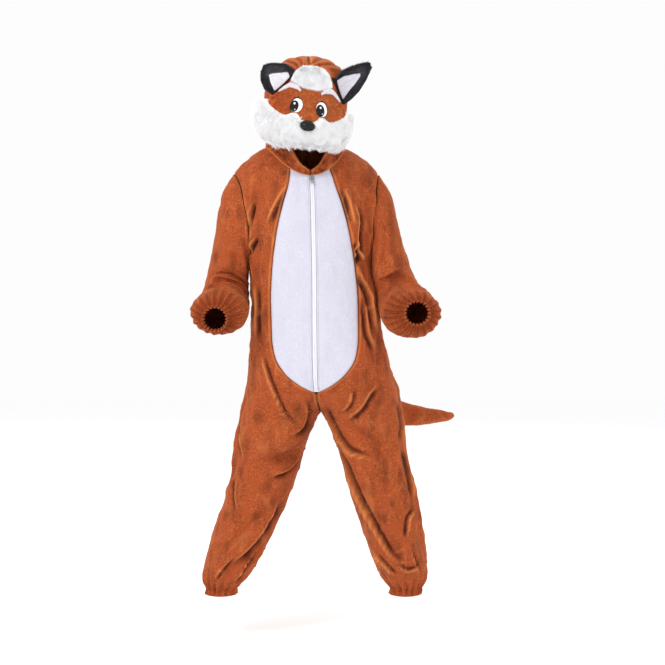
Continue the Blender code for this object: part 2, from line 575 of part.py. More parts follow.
def hood_base(t, z, side):
    """A point of one half of the hood. t is 0 at the front middle and 1 at the back middle."""
    t, z = np.broadcast_arrays(np.asarray(t, float), np.asarray(z, float))
    wide, front, back = (smooth(HOOD, c, z) for c in ("wide", "front", "back"))
    turn = (2 * t - 1) * np.pi / 2
    x = np.maximum(wide * np.cos(turn), SEAM / 2)
    y = smooth(HOOD, "shift", z) + np.where(turn < 0, front, back) * np.sin(turn)
    lower = smooth(HOOD, "dip", z) * np.cos(np.pi * np.minimum(t, 0.5)) ** 2
    return np.stack([side * x, y, z - lower], -1)


def hood(t, z, side):
    t, z = np.broadcast_arrays(np.asarray(t, float), np.asarray(z, float))
    inside = np.clip(t, 2 * EDGE_STEP, 1 - 2 * EDGE_STEP)
    level = np.clip(z, NECK_Z + 1, 242)
    out = normals(lambda u, v: hood_base(u, v, side), inside, level) * side
    base = hood_base(t, z, side)
    return stand(base), unit(stand(base + out) - stand(base))


def face_edge(z):
    """t of the face opening's edge at height z."""
    share = smooth(HOOD, "open", z) / smooth(HOOD, "wide", z)
    return float(0.5 * (1 - np.arccos(np.clip(share, 0, 1)) / (np.pi / 2)))


def build_hood(velour):
    rows = [NECK_Z, 28, 33, 40, 52, 66, 80, 88, 92, 112, 136, 160, 182, 202, 219, 233, 242, 245.5]
    for side, word in ((1, "left"), (-1, "right")):
        def surface(t, z, side=side):
            return hood(t, z, side)

        panel(f"hood_{word}", surface, VELOUR, rows, face_edge, lambda z: 1.0, [10] * len(rows), velour)


def fox_place(local):
    """From the fox head's own frame to the suit's."""
    pitch, yaw, roll = np.radians((FOX_PITCH, FOX_YAW, FOX_ROLL))
    x, y, z = local[..., 0], local[..., 1], local[..., 2]
    y, z = y * np.cos(pitch) - z * np.sin(pitch), y * np.sin(pitch) + z * np.cos(pitch)
    x, z = x * np.cos(roll) + z * np.sin(roll), z * np.cos(roll) - x * np.sin(roll)
    x, y = x * np.cos(yaw) - y * np.sin(yaw), x * np.sin(yaw) + y * np.cos(yaw)
    return np.stack([x, y, z], -1) + np.array(FOX_MIDDLE)


def fox_ray(turn, h, reach):
    """The point at a reach from the fox head's own upright, turn in degrees from the front middle."""
    angle = np.radians(turn)
    return fox_place(np.stack([reach * np.sin(angle), -reach * np.cos(angle), h + 0 * reach], -1))


def fox_reach(turn, h):
    """How far the fox head's outside is from its upright: an oval and the bump of the muzzle."""
    angle = np.radians(turn)
    wide, front = smooth(FOX, "wide", h), smooth(FOX, "front", h)
    oval = 1 / np.sqrt((np.sin(angle) / wide) ** 2 + (np.cos(angle) / front) ** 2)
    off = (oval * angle / MUZZLE_WIDE) ** 2 + ((h - MUZZLE_H) / MUZZLE_TALL) ** 2
    return oval + MUZZLE_HIGH * np.exp(-off)


def in_hood(points):
    """Whether points are inside the hood's outside."""
    z = np.maximum(points[..., 2], NECK_Z)
    yaw = np.radians(smooth(STANCE, "yaw", z))
    x, y = points[..., 0] - smooth(STANCE, "sway", z), points[..., 1]
    across, back = x * np.cos(yaw) + y * np.sin(yaw), y * np.cos(yaw) - x * np.sin(yaw)
    row = z
    for _ in range(4):
        wide, front, deep, shift = (smooth(HOOD, c, row) for c in ("wide", "front", "back", "shift"))
        depth = np.where(back < shift, front, deep)
        turn = np.arctan2((back - shift) / depth, np.abs(across) / wide)
        row = z + smooth(HOOD, "dip", row) * np.cos(np.pi * np.minimum(0.5 + turn / np.pi, 0.5)) ** 2
    return (across / wide) ** 2 + ((back - shift) / depth) ** 2 < 1


def fox_seat(turn, h):
    """Reach of the hood's outside, with a little room, along the fox head's ray."""
    low, high = np.zeros(np.broadcast(turn, h).shape), np.full(np.broadcast(turn, h).shape, 260.0)
    for _ in range(26):
        middle = (low + high) / 2
        inside = in_hood(fox_ray(turn, h, middle))
        low, high = np.where(inside, middle, low), np.where(inside, high, middle)
    return high + HOOD_CLEAR


def line(table, turn):
    return smooth(table, "h", turn)


def cushion(name, turns, low, high, rows, edges, paint):
    """A stuffed piece on the hood, between two lines of heights, with edges rounded off in mm.

    edges: how far the rounding runs in from the ends, the low line and the high line."""
    turns = np.asarray(turns, float)
    bottom, top = low(turns) + SEAM / 2, high(turns) - SEAM / 2
    outer, inner = [], []
    for share in rows:
        h = bottom + (top - bottom) * share
        seat, reach = fox_seat(turns, h), fox_reach(turns, h)
        thick = np.maximum(reach - seat, THIN)
        ends = np.minimum(turns - turns[0], turns[-1] - turns) * np.radians(reach)
        for far, run in ((ends, edges[0]), (h - bottom, edges[1]), (top - h, edges[2])):
            if run:
                left = 1 - np.clip(far / run, 0, 1)
                thick = THIN + (thick - THIN) * np.sqrt(1 - left**2)
        outer.append(fox_ray(turns, h, seat + thick))
        inner.append(fox_ray(turns, h, seat))
    return wall(name, outer, inner, paint)


def build_fox_head(fur, plush):
    """White cheeks and chin in one, the mask over them, and the tuft between the ears."""
    turns = [-a for a in HEAD_TURNS[:0:-1]] + HEAD_TURNS
    cushion("ruff", [-RUFF_TURN, -86, -78, -67, *turns, 67, 78, 86, RUFF_TURN], lambda a: line(RUFF_LOW, a),
            lambda a: line(RUFF_HIGH, a), [0, 0.06, 0.18, 0.36, 0.52, 0.66, 0.78, 0.89, 1], (40, 26, 0), fur)
    cushion("mask", turns, lambda a: line(MASK_LOW, a) + MASK_LIFT, lambda a: line(MASK_HIGH, a),
            np.linspace(0, 1, 9), (30, 0, 0), plush)
    cushion("tuft", turns[4:-4], lambda a: line(MASK_HIGH, a), lambda a: line(TUFT_HIGH, a),
            [0, 0.3, 0.6, 0.85, 1], (12, 0, 22), fur)


def face_point(turn, h, lift):
    """A point lift mm off the face, along the head's own ray."""
    return fox_ray(turn, h, fox_reach(turn, h) + lift)


def patch(name, p, lift, paint):
    """A rounded disc on the face: rings from its middle to its rim, seen from the front."""
    angle = np.linspace(0, 2 * np.pi, 15)
    outer, inner = [], []
    for share in (0.0, 0.55, 0.85, 1.0):
        turn = p.turn + p.half_turn * share * np.cos(angle)
        h = p.h + p.half_h * share * np.sin(angle)
        outer.append(face_point(turn, h, lift + p.thick + p.bulge * np.sqrt(1 - share**2)))
        inner.append(face_point(turn, h, lift))
    return wall(name, outer, inner, paint, ring=True)


def build_face(white, black, gloss):
    """Eyes, pupils, brows and nose, sewn on the mask."""
    brow = np.array(BROW)
    for word, side in (("left", 1), ("right", -1)):
        patch(f"eye_{word}", EYES[word], FACE_LIFT, white)
        patch(f"pupil_{word}", PUPILS[word], FACE_LIFT + EYES[word].thick + SEAM, black)
        turns = np.linspace(brow[0, 0], brow[-1, 0], 9)
        middle, half = np.interp(turns, brow[:, 0], brow[:, 1]), np.interp(turns, brow[:, 0], brow[:, 2])
        outer = [face_point(side * turns, middle + half * k, FACE_LIFT + BROW_THICK) for k in (-1, 0, 1)]
        inner = [face_point(side * turns, middle + half * k, FACE_LIFT) for k in (-1, 0, 1)]
        wall(f"brow_{word}", outer, inner, white)
    patch("nose", NOSE, FACE_LIFT, gloss)


def ear_front(word, row, share):
    """Front of an ear in the head's frame, at a row of its table and a share across it."""
    table = EARS[word]
    rows = np.arange(len(table))
    edges = [np.array([getattr(r, edge) for r in table], float) for edge in ("outer", "inner")]
    a, b = (np.stack([np.interp(row, rows, e[:, k]) for k in range(3)], -1) for e in edges)
    share = np.asarray(share, float)[..., None]
    return a + (b - a) * share


def ear_back_way(word):
    """The way from the ear's front to its back, square to its middle."""
    table = EARS[word]
    root = np.array(table[0].inner, float) - np.array(table[0].outer, float)
    up = np.array(table[-1].inner, float) + table[-1].outer - table[0].inner - np.array(table[0].outer, float)
    way = unit(np.cross(root, up))
    return way * np.sign(way[1])


def cupped(row, share):
    return EAR_CUP * 4 * share * (1 - share) * np.clip(1.25 - row / 4, 0, 1)


def on_head(local, seated):
    """Places points of the head's frame, none closer to it than the hood allows, or all on the hood."""
    turn = np.degrees(np.arctan2(local[:, 0], -local[:, 1]))
    reach, seat = np.hypot(local[:, 0], local[:, 1]), fox_seat(turn, local[:, 2])
    return fox_ray(turn, local[:, 2], seat - EAR_DROP if seated else np.maximum(reach, seat + THIN))


def build_ears(black, white):
    """Each ear is a cupped, stuffed leaf from its root on the hood to its tip, and a lining in it."""
    share = np.linspace(0, 1, 8)
    for word in ("left", "right"):
        way = ear_back_way(word)
        outer, inner = [], []
        for row in (0, 0, 0.5, 1, 1.5, 2, 2.5, 3, 3.5, 4):
            seated = not outer
            flat = ear_front(word, row, share)
            front = flat + way * cupped(row, share)[:, None]
            back = flat + way * (EAR_THICK * (1 - 0.55 * (2 * share - 1) ** 2))[:, None]
            outer.append(on_head(back, seated))
            inner.append(on_head(front, seated))
        wall(f"ear_{word}", outer, inner, black)
        table = np.array(LININGS[word])
        outer, inner = [], []
        for row in np.linspace(table[0, 0], table[-1, 0], 7):
            across = np.linspace(*(np.interp(row, table[:, 0], table[:, k]) for k in (1, 2)), 7)
            front = ear_front(word, row, across) + way * (cupped(row, across) - LINING_LIFT)[:, None]
            inner.append(fox_place(front))
            outer.append(fox_place(front - way * LINING_THICK))
        wall(f"ear_lining_{word}", outer, inner, white)


def loft(name, rings, paint, way=None):
    """A closed solid through rings of equally many points, with flat ends."""
    count = len(rings[0])
    faces = []
    for k in range(len(rings) - 1):
        for j in range(count):
            a, b, n = k * count + j, k * count + (j + 1) % count, count
            faces.append((a, b, b + n, a + n))
    faces.append(tuple(range(count)))
    faces.append(tuple(range((len(rings) - 1) * count, len(rings) * count)))
    return mesh_object(name, np.concatenate(rings), faces, paint)


def back_depth(x, z):
    """How far back the suit's outside is at x and height z."""
    t = np.linspace(0.45, 1, 56)
    found = []
    for px, pz in zip(x, z):
        left, right = suit(t, np.full(56, pz), 1)[0], suit(t, np.full(56, pz), -1)[0]
        line = np.concatenate([right, left[::-1]])
        found.append(np.interp(px, line[:, 0], line[:, 1]))
    return np.array(found)


def tail_rings(count, steps):
    """Rings of the tail, square to its middle line, eased out of the suit's back."""
    table = np.array(TAIL)
    places = np.linspace(0, len(TAIL) - 1, steps)
    middle = np.stack([np.interp(places, np.arange(len(TAIL)), table[:, k]) for k in range(4)], -1)
    along = unit(np.gradient(middle[:, :3], axis=0))
    angle = 2 * np.pi * np.arange(count) / count
    root_x, root_z = TAIL[0].x + TAIL[0].half * np.cos(angle), TAIL[0].z + TAIL[0].half * np.sin(angle)
    root = np.stack([root_x, back_depth(root_x, root_z) + TAIL_LIFT, root_z], -1)
    rings = []
    for share in (0.04, 0.5):
        x, z = TAIL[0].x + (root_x - TAIL[0].x) * share, TAIL[0].z + (root_z - TAIL[0].z) * share
        rings.append(np.stack([x, back_depth(x, z) + TAIL_LIFT, z], -1))
    rings.append(root)
    for k in range(1, steps):
        beside = unit(np.cross(np.array([0, 0, 1.0]), along[k]))
        over = np.cross(along[k], beside)
        ring = middle[k, :3] + middle[k, 3] * (-beside * np.cos(angle)[:, None] + over * np.sin(angle)[:, None])
        ease = min(places[k] / 1.5, 1)
        lifted = root + np.array([0, 1.0, 0]) * 14 * places[k]
        ring = ring * ease + lifted * (1 - ease)
        ring[:, 1] = np.maximum(ring[:, 1], back_depth(ring[:, 0], ring[:, 2]) + 2 * TAIL_LIFT)
        rings.append(ring)
    return rings


def zip_frame(z):
    """Middle of the zip's tape at a row of the suit, and the ways across, up and out."""
    left, out_left = suit(zip_edge(z), z, 1)
    right, out_right = suit(zip_edge(z), z, -1)
    across, out = unit(left - right), unit(out_left + out_right)
    up = unit(np.cross(out, across))
    return (left + right) / 2 - out * (ZIP_DROP - SEAM), across, up, np.cross(across, up)


def build_zip(tape, metal):
    """The zip between the fleece panels: its tape, and the slider's plate and bail near the neck."""
    rows = suit_rows()
    rows = rows[: rows.index(TUMMY_END_Z) + 1]
    outer, inner = [], []
    for k, z in enumerate(rows):
        ends = [suit(zip_edge(z), z, side) for side in (-1, 1)]
        out = unit(ends[0][1] + ends[1][1])
        across = unit(ends[1][0] - ends[0][0])
        points = np.stack([ends[0][0] + across * SEAM, (ends[0][0] + ends[1][0]) / 2, ends[1][0] - across * SEAM])
        outer.append(points - out * ZIP_DROP)
        inner.append(points - out * (ZIP_DROP + ZIP_THICK))
    outer[-1][:, 2] += SEAM
    inner[-1][:, 2] += SEAM
    wall("zip_tape", outer, inner, tape)

    origin, across, up, out = zip_frame(SLIDER_Z)
    wide, high, thick = SLIDER

    def place(u, v, w):
        return origin + np.multiply.outer(u, across) + np.multiply.outer(v, up) + np.multiply.outer(w, out)

    u = np.array([-0.8, -1, -1, -0.7, -0.3, 0.3, 0.7, 1, 1, 0.8]) * wide
    v = np.array([1, 0.8, 0, -0.9, -1, -1, -0.9, 0, 0.8, 1]) * high
    rings = [place(u * k, v * k, np.full(10, w)) for w, k in ((0, 0.94), (0.3, 1), (thick - 0.5, 1), (thick, 0.9))]
    loft("zip_slider", rings, metal)
    wire = BAIL_WIRE
    near, far = thick + SEAM, thick + BAIL_OUT
    path = [((near, BAIL_HIGH), (near, BAIL_HIGH + 2 * wire)), ((far, BAIL_HIGH), (far + 2 * wire, BAIL_HIGH + 2 * wire))]
    path += [((w1, -v1), (w2, -v2)) for (w1, v1), (w2, v2) in path[::-1]]
    rings = [place(np.array([-wire, wire, wire, -wire]), np.array([a[1], a[1], b[1], b[1]]),
                   np.array([a[0], a[0], b[0], b[0]])) for a, b in path]
    loft("zip_bail", rings, metal)

    low = thick + HINGE_OUT - PULL_THICK / 2
    points, faces = [], []
    for w in (low, low + PULL_THICK):
        for vertical in PULL_UP:
            points += [place(a, vertical, w) for a in PULL_ACROSS]
    for r in range(3):
        for c in range(3):
            if (r, c) == (1, 1):
                continue
            a = r * 4 + c
            faces += [(a, a + 1, a + 5, a + 4), (a + 16, a + 20, a + 21, a + 17)]
            for there, i, j in (((r - 1, c), a, a + 1), ((r + 1, c), a + 4, a + 5), ((r, c - 1), a, a + 4),
                                ((r, c + 1), a + 1, a + 5)):
                if there == (1, 1) or not (0 <= there[0] < 3 and 0 <= there[1] < 3):
                    faces.append((i, j, j + 16, i + 16))
    mesh_object("zip_pull", points, faces, metal)


def material(name, colour, rough, metal=0.0):
    made = bpy.data.materials.new(name)
    made.use_nodes = True
    shader = made.node_tree.nodes["Principled BSDF"]
    shader.inputs["Base Color"].default_value = (*colour, 1.0)
    shader.inputs["Roughness"].default_value = rough
    shader.inputs["Metallic"].default_value = metal
    return made


def main():
    for old in list(bpy.data.objects):
        bpy.data.objects.remove(old)
    velour = material("velour", (0.44, 0.11, 0.03), 0.9)
    fleece = material("fleece", (0.85, 0.84, 0.90), 0.95)
    plush = material("plush", (0.55, 0.13, 0.03), 0.95)
    fur = material("fur", (0.88, 0.88, 0.90), 0.95)
    black = material("black_plush", (0.03, 0.028, 0.035), 0.9)
    gloss = material("black_gloss", (0.01, 0.01, 0.012), 0.12)
    metal = material("zip_metal", (0.72, 0.72, 0.74), 0.3, 1.0)
    build_suit(velour, fleece)
    build_sleeves(velour)
    build_hood(velour)
    build_fox_head(fur, plush)
    build_face(fleece, black, gloss)
    build_ears(black, fleece)
    loft("tail", tail_rings(14, 14), velour)
    build_zip(fleece, metal)


main()
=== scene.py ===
import math

import bpy
import numpy as np
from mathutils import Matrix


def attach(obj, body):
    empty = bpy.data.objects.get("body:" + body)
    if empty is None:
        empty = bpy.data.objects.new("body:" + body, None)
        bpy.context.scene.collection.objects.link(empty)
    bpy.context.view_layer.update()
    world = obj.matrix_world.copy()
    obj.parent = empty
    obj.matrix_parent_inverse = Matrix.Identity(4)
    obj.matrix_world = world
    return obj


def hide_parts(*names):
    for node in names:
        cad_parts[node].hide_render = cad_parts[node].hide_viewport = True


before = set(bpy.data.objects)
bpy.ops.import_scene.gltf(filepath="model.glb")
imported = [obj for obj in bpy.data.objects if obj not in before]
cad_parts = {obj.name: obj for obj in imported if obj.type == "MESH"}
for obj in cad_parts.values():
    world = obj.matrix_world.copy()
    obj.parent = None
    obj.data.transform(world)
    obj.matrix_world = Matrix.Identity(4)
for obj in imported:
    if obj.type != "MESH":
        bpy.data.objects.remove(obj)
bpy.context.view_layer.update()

mm = 0.001
print("stage: frame loaded")

# Camera at the photograph's angle, a plain pale floor and soft studio light.
view = {"eye": (0.047, -4.0, -0.209), "aim": (0.047, 0.0, -0.421), "lens": 90.3}
studio = {
    "floorZ": -1.159, "floorHalf": 6.0, "floorColour": (0.97, 0.97, 0.97), "worldColour": (1.0, 1.0, 1.0),
    "worldStrength": 0.98,
    "lights": [
        {"name": "key", "at": (-2.3, -2.4, 2.0), "size": 1.2, "watts": 66},
        {"name": "fill", "at": (2.6, -2.4, 0.3), "size": 2.4, "watts": 14},
        {"name": "back", "at": (0.4, 2.6, 1.8), "size": 2.4, "watts": 40},
    ],
}


def pointAt(thing, target):
    eye = np.array(thing.location)
    away = np.array(target) - eye
    flat = math.hypot(away[0], away[1])
    thing.rotation_euler = (math.pi / 2 + math.atan2(away[2], flat), 0, math.atan2(-away[0], away[1]))


def makeStudio():
    camera = bpy.data.objects.new("camera", bpy.data.cameras.new("camera"))
    camera.location = view["eye"]
    camera.data.lens = view["lens"]
    camera.data.sensor_width = 36
    pointAt(camera, view["aim"])
    bpy.context.scene.collection.objects.link(camera)
    bpy.context.scene.camera = camera
    bpy.context.scene.view_settings.view_transform = "Standard"
    h, z = studio["floorHalf"], studio["floorZ"]
    mesh = bpy.data.meshes.new("floor")
    mesh.from_pydata([(-h, -h, z), (h, -h, z), (h, h, z), (-h, h, z)], [], [(0, 1, 2, 3)])
    floor = bpy.data.objects.new("floor", mesh)
    bpy.context.scene.collection.objects.link(floor)
    paint = bpy.data.materials.new("floor")
    paint.use_nodes = True
    shader = paint.node_tree.nodes["Principled BSDF"]
    shader.inputs["Base Color"].default_value = (*studio["floorColour"], 1)
    shader.inputs["Roughness"].default_value = 0.9
    mesh.materials.append(paint)
    world = bpy.data.worlds.new("studio")
    bpy.context.scene.world = world
    world.use_nodes = True
    world.node_tree.nodes["Background"].inputs["Color"].default_value = (*studio["worldColour"], 1)
    world.node_tree.nodes["Background"].inputs["Strength"].default_value = studio["worldStrength"]
    for lamp in studio["lights"]:
        data = bpy.data.lights.new(lamp["name"], "AREA")
        data.size = lamp["size"]
        data.energy = lamp["watts"]
        light = bpy.data.objects.new(lamp["name"], data)
        light.location = lamp["at"]
        pointAt(light, (0, 0, -0.4))
        bpy.context.scene.collection.objects.link(light)


makeStudio()
print("stage: studio")


# Small mathematics that every piece uses.
def column(table, name, at):
    # A column as a smooth curve of the table's first one: cubic pieces whose slopes never overshoot.
    keys = list(table)
    x, y = np.array(table[keys[0]], float), np.array(table[name], float)
    if x[0] > x[-1]:
        x, y = x[::-1], y[::-1]
    slope = np.diff(y) / np.diff(x)
    product = slope[1:] * slope[:-1]
    inner = np.where(product > 0, 2 * product / (slope[1:] + slope[:-1] + 1e-12), 0)
    tangent = np.concatenate([slope[:1], inner, slope[-1:]])
    at = np.clip(np.asarray(at, float), x[0], x[-1])
    k = np.clip(np.searchsorted(x, at) - 1, 0, len(x) - 2)
    width = x[k + 1] - x[k]
    f = (at - x[k]) / width
    return (
        y[k] * (1 + 2 * f) * (1 - f) ** 2 + tangent[k] * width * f * (1 - f) ** 2
        + y[k + 1] * f * f * (3 - 2 * f) + tangent[k + 1] * width * f * f * (f - 1)
    )


def curveThrough(keys, values, at):
    return column({"key": keys, "value": values}, "value", at)


def unit(vectors):
    return vectors / np.maximum(np.linalg.norm(vectors, axis=-1, keepdims=True), 1e-9)


def eased(share):
    share = np.clip(share, 0, 1)
    return share * share * (3 - 2 * share)


def noise(points, scale, seed):
    # Smooth random heights from -1 to 1: a lattice of random values, eased between its eight neighbours.
    table = np.random.default_rng(seed).random((32, 32, 32)) * 2 - 1
    p = np.asarray(points, float) / scale + 500
    low = np.floor(p).astype(int)
    f = p - low
    f = f * f * (3 - 2 * f)
    total = 0
    for corner in range(8):
        offset = np.array([corner & 1, corner >> 1 & 1, corner >> 2 & 1])
        weight = np.prod(np.where(offset, f, 1 - f), axis=-1)
        i = (low + offset) % 32
        total = total + weight * table[i[..., 0], i[..., 1], i[..., 2]]
    return total


def crumple(points, scale, seed):
    # Fine creases: thin ridges where warped noise passes zero, from 0 to 1, over a soft swell.
    warp = np.stack([noise(points, scale * 1.3, seed + k) for k in (1, 2, 3)], -1)
    n = noise(points + warp * scale * 0.55, scale, seed)
    return (1 - np.abs(n)) ** 5 + 0.35 * noise(points, scale * 0.8, seed + 7)


def smoothPath(path, count=22):
    # A path's points joined by a curve through all of them, at even steps.
    p = np.array(path, float)
    along = np.concatenate([[0], np.cumsum(np.linalg.norm(np.diff(p, axis=0), axis=1))])
    at = np.linspace(0, along[-1], count)
    return np.stack([curveThrough(along, p[:, k], at) for k in range(2)], -1)


def foldField(x, z, folds):
    # Height, rim and shade of the given folds seen from the front, at (x, z) in millimetres.
    # Each is a ridge along its path with a narrower trough on one side, and fades out at both ends.
    # Besides the height, each fold paints a highlight along its ridge's crest and paints shade in its trough.
    height, rim, shade = (np.zeros(x.shape) for _ in range(3))
    for fold in folds:
        path = smoothPath(fold["path"])
        nearest, side, share = np.full(x.shape, 1e9), np.zeros(x.shape), np.zeros(x.shape)
        for k in range(len(path) - 1):
            (ax, az), (bx, bz) = path[k], path[k + 1]
            dx, dz = bx - ax, bz - az
            t = np.clip(((x - ax) * dx + (z - az) * dz) / (dx * dx + dz * dz), 0, 1)
            ox, oz = x - ax - t * dx, z - az - t * dz
            d = np.hypot(ox, oz)
            closer = d < nearest
            nearest = np.where(closer, d, nearest)
            side = np.where(closer, np.sign(dx * oz - dz * ox), side)
            share = np.where(closer, (k + t) / (len(path) - 1), share)
        fade = eased(share / 0.25) * eased((1 - share) / 0.25)
        signed = nearest * side * fold["side"]
        w = fold["wide"]
        ridge = np.exp(-((signed / np.where(signed > 0, 0.42 * w, 2.4 * w)) ** 2))
        trough = np.exp(-(((signed - 1.25 * w) / (0.75 * w)) ** 2))
        height += fade * (fold["high"] * ridge + fold["under"] * trough)
        rim += fade * np.exp(-((signed / (0.30 * w)) ** 2))
        shade += fade * trough
    return height, np.clip(rim, 0, 1), np.clip(shade, 0, 1)


def meshPiece(name, points, quads, paint, tris=None, smooth=True, sharp=58, marks=None):
    # An object from points in millimetres and faces as whole arrays, turned outwards.
    points = np.asarray(points, float) * mm
    quads = np.asarray(quads, np.int32).reshape(-1, 4)
    tris = np.zeros((0, 3), np.int32) if tris is None else np.asarray(tris, np.int32).reshape(-1, 3)
    volume = 0.0
    for faces, count in ((quads, 4), (tris, 3)):
        for k in range(1, count - 1):
            a, b, c = (points[faces[:, j]] for j in (0, k, k + 1))
            volume += float(np.einsum("ij,ij->i", a, np.cross(b, c)).sum())
    if volume < 0:
        quads, tris = quads[:, ::-1], tris[:, ::-1]
    mesh = bpy.data.meshes.new(name)
    mesh.vertices.add(len(points))
    mesh.vertices.foreach_set("co", points.ravel())
    loops = np.concatenate([quads.ravel(), tris.ravel()])
    mesh.loops.add(len(loops))
    mesh.loops.foreach_set("vertex_index", loops)
    totals = np.concatenate([np.full(len(quads), 4), np.full(len(tris), 3)])
    mesh.polygons.add(len(totals))
    mesh.polygons.foreach_set("loop_start", np.concatenate([[0], np.cumsum(totals)[:-1]]))
    mesh.update(calc_edges=True)
    mesh.polygons.foreach_set("use_smooth", np.full(len(totals), smooth))
    mesh.validate()
    if sharp and smooth:
        mesh.set_sharp_from_angle(angle=math.radians(sharp))
    for key, values in (marks or {}).items():
        layer = mesh.attributes.new(key, "FLOAT", "POINT")
        layer.data.foreach_set("value", np.asarray(values, np.float32).ravel())
    mesh.materials.append(paint)
    piece = bpy.data.objects.new(name, mesh)
    bpy.context.scene.collection.objects.link(piece)
    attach(piece, "suit")
    return piece


def gridFaces(rows, columns, closed=False, start=0):
    index = np.arange(rows * columns).reshape(rows, columns) + start
    if closed:
        index = np.concatenate([index, index[:, :1]], axis=1)
    a, b, c, d = index[:-1, :-1], index[:-1, 1:], index[1:, 1:], index[1:, :-1]
    return np.stack([a, b, c, d], -1).reshape(-1, 4)


def endCaps(rows, columns):
    # Fans that close a tube's first and last ring, with their two middles as the last points.
    first, last = np.arange(columns), np.arange(columns) + (rows - 1) * columns
    start, finish = np.full(columns, rows * columns), np.full(columns, rows * columns + 1)
    return np.concatenate([np.stack([np.roll(first, -1), first, start], -1),
                           np.stack([last, np.roll(last, -1), finish], -1)])


def shell(name, outer, inner, paint, closed=False, marks=None, **more):
    # A closed wall between two grids of points of the same size. closed joins each row's ends.
    rows, columns = outer.shape[:2]
    n = rows * columns
    faces = [gridFaces(rows, columns, closed), gridFaces(rows, columns, closed, n)[:, ::-1]]
    index = np.arange(n).reshape(rows, columns)
    lines = [(index[0], True), (index[-1], False)]
    if closed:
        lines = [(np.append(line, line[0]), back) for line, back in lines]
    else:
        lines += [(index[:, 0], False), (index[:, -1], True)]
    for line, back in lines:
        strip = np.stack([line[:-1], line[1:], line[1:] + n, line[:-1] + n], -1)
        faces.append(strip[:, ::-1] if back else strip)
    points = np.concatenate([outer.reshape(-1, 3), inner.reshape(-1, 3)])
    both = {k: np.concatenate([np.ravel(v), np.ravel(v)]) for k, v in (marks or {}).items()}
    return meshPiece(name, points, np.concatenate(faces), paint, marks=both, **more)


def standsFor(nodeName):
    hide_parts(nodeName)


# Forms, in millimetres, the same numbers as the solids. Each table's columns are curves of its first one.
suitShape = {
    "z": [20, 5, -10, -28, -45, -100, -180, -255, -330, -400, -463, -520, -559, -590, -607, -655, -703,
        -823, -919, -991, -1015, -1033, -1041, -1056],
    "centre": [0, 0, 0, 0, 0, 0, 0, 0, 0, 0, 6, 30, 60, 84, 97, 113, 123, 155, 186, 209, 217, 222, 223,
        223],
    "shift": [0, 0, 0, 0, 0, 0, 0, 0, 0, 0, 0, 0, 2, 4, 5, 6, 6, 8, 10, 12, 12, 12, 12, 12],
    "wide": [94, 120, 142, 160, 171, 168, 158, 148, 149, 154, 157, 142, 122, 105, 97, 88, 82, 77, 71, 61,
        53, 41, 35, 38],
    "front": [78, 86, 91, 95, 98, 103, 108, 111, 113, 115, 118, 116, 111, 105, 101, 94, 89, 82, 74, 66,
        60, 46, 39, 42],
    "back": [62, 70, 76, 82, 86, 94, 98, 98, 97, 99, 108, 116, 116, 110, 106, 98, 93, 86, 80, 74, 66, 50,
        41, 44],
    "dip": [68, 56, 46, 38, 30, 14, 0, 0, 0, 0, 0, 0, 0, 0, 0, 0, 0, 0, 0, 0, 0, 0, 0, 0],
    "square": [2, 2, 2, 2, 2, 2.15, 2.3, 2.3, 2.3, 2.3, 2.3, 2.2, 2.1, 2, 2, 2, 2, 2, 2, 2, 2, 2, 2, 2],
}
stance = {
    "z": [260, 60, 0, -250, -420, -560, -700, -900, -1056],
    "sway": [-18, -20, -17, -4, 9, 19, 20, 13, 0],
    "yaw": [5, 7, 8, 4, -2, -6, -5, -2, 0],
}
tummyShape = {
    "z": [20, -45, -110, -200, -276, -345, -430, -475, -511, -537, -549, -556],
    "half": [46, 55, 70, 88, 98, 102, 101, 94, 72, 42, 22, 6],
}
# Broad folds: from (t1, z1) to (t2, z2), with the spread and height.
broadFolds = {
    "both": [
        (0.34, -60, 0.36, -235, 20, 10), (0.29, -80, 0.33, -215, 14, -9), (0.62, -70, 0.64, -235, 22, 9),
        (0.76, -90, 0.7, -260, 22, -8), (0.86, -330, 0.6, -400, 18, 8), (0.9, -380, 0.62, -450, 18, -6),
        (0.55, -520, 0.72, -640, 26, 9), (0.66, -540, 0.86, -640, 24, -9), (0.8, -700, 0.62, -820, 24, 9),
        (0.72, -860, 0.9, -960, 22, -8),
    ],
    "left": [
        (0.3, -330, 0.36, -420, 18, 9), (0.4, -400, 0.3, -520, 20, -8), (0.1, -640, 0.34, -720, 18, -14),
        (0.1, -690, 0.22, -900, 22, 14), (0.22, -900, 0.36, -985, 18, 12), (0.44, -760, 0.4, -900, 18, 9),
        (0.05, -930, 0.22, -1010, 14, 10),
    ],
    "right": [
        (0.36, -300, 0.33, -420, 16, 8), (0.4, -560, 0.33, -660, 16, -10), (0.05, -655, 0.2, -690, 20, 14),
        (0.03, -700, 0.24, -735, 16, -14), (0.45, -640, 0.42, -760, 16, 10),
        (0.1, -830, 0.26, -960, 20, -10), (0.12, -900, 0.3, -1000, 16, 12),
        (0.04, -930, 0.16, -1020, 12, 9),
    ],
}
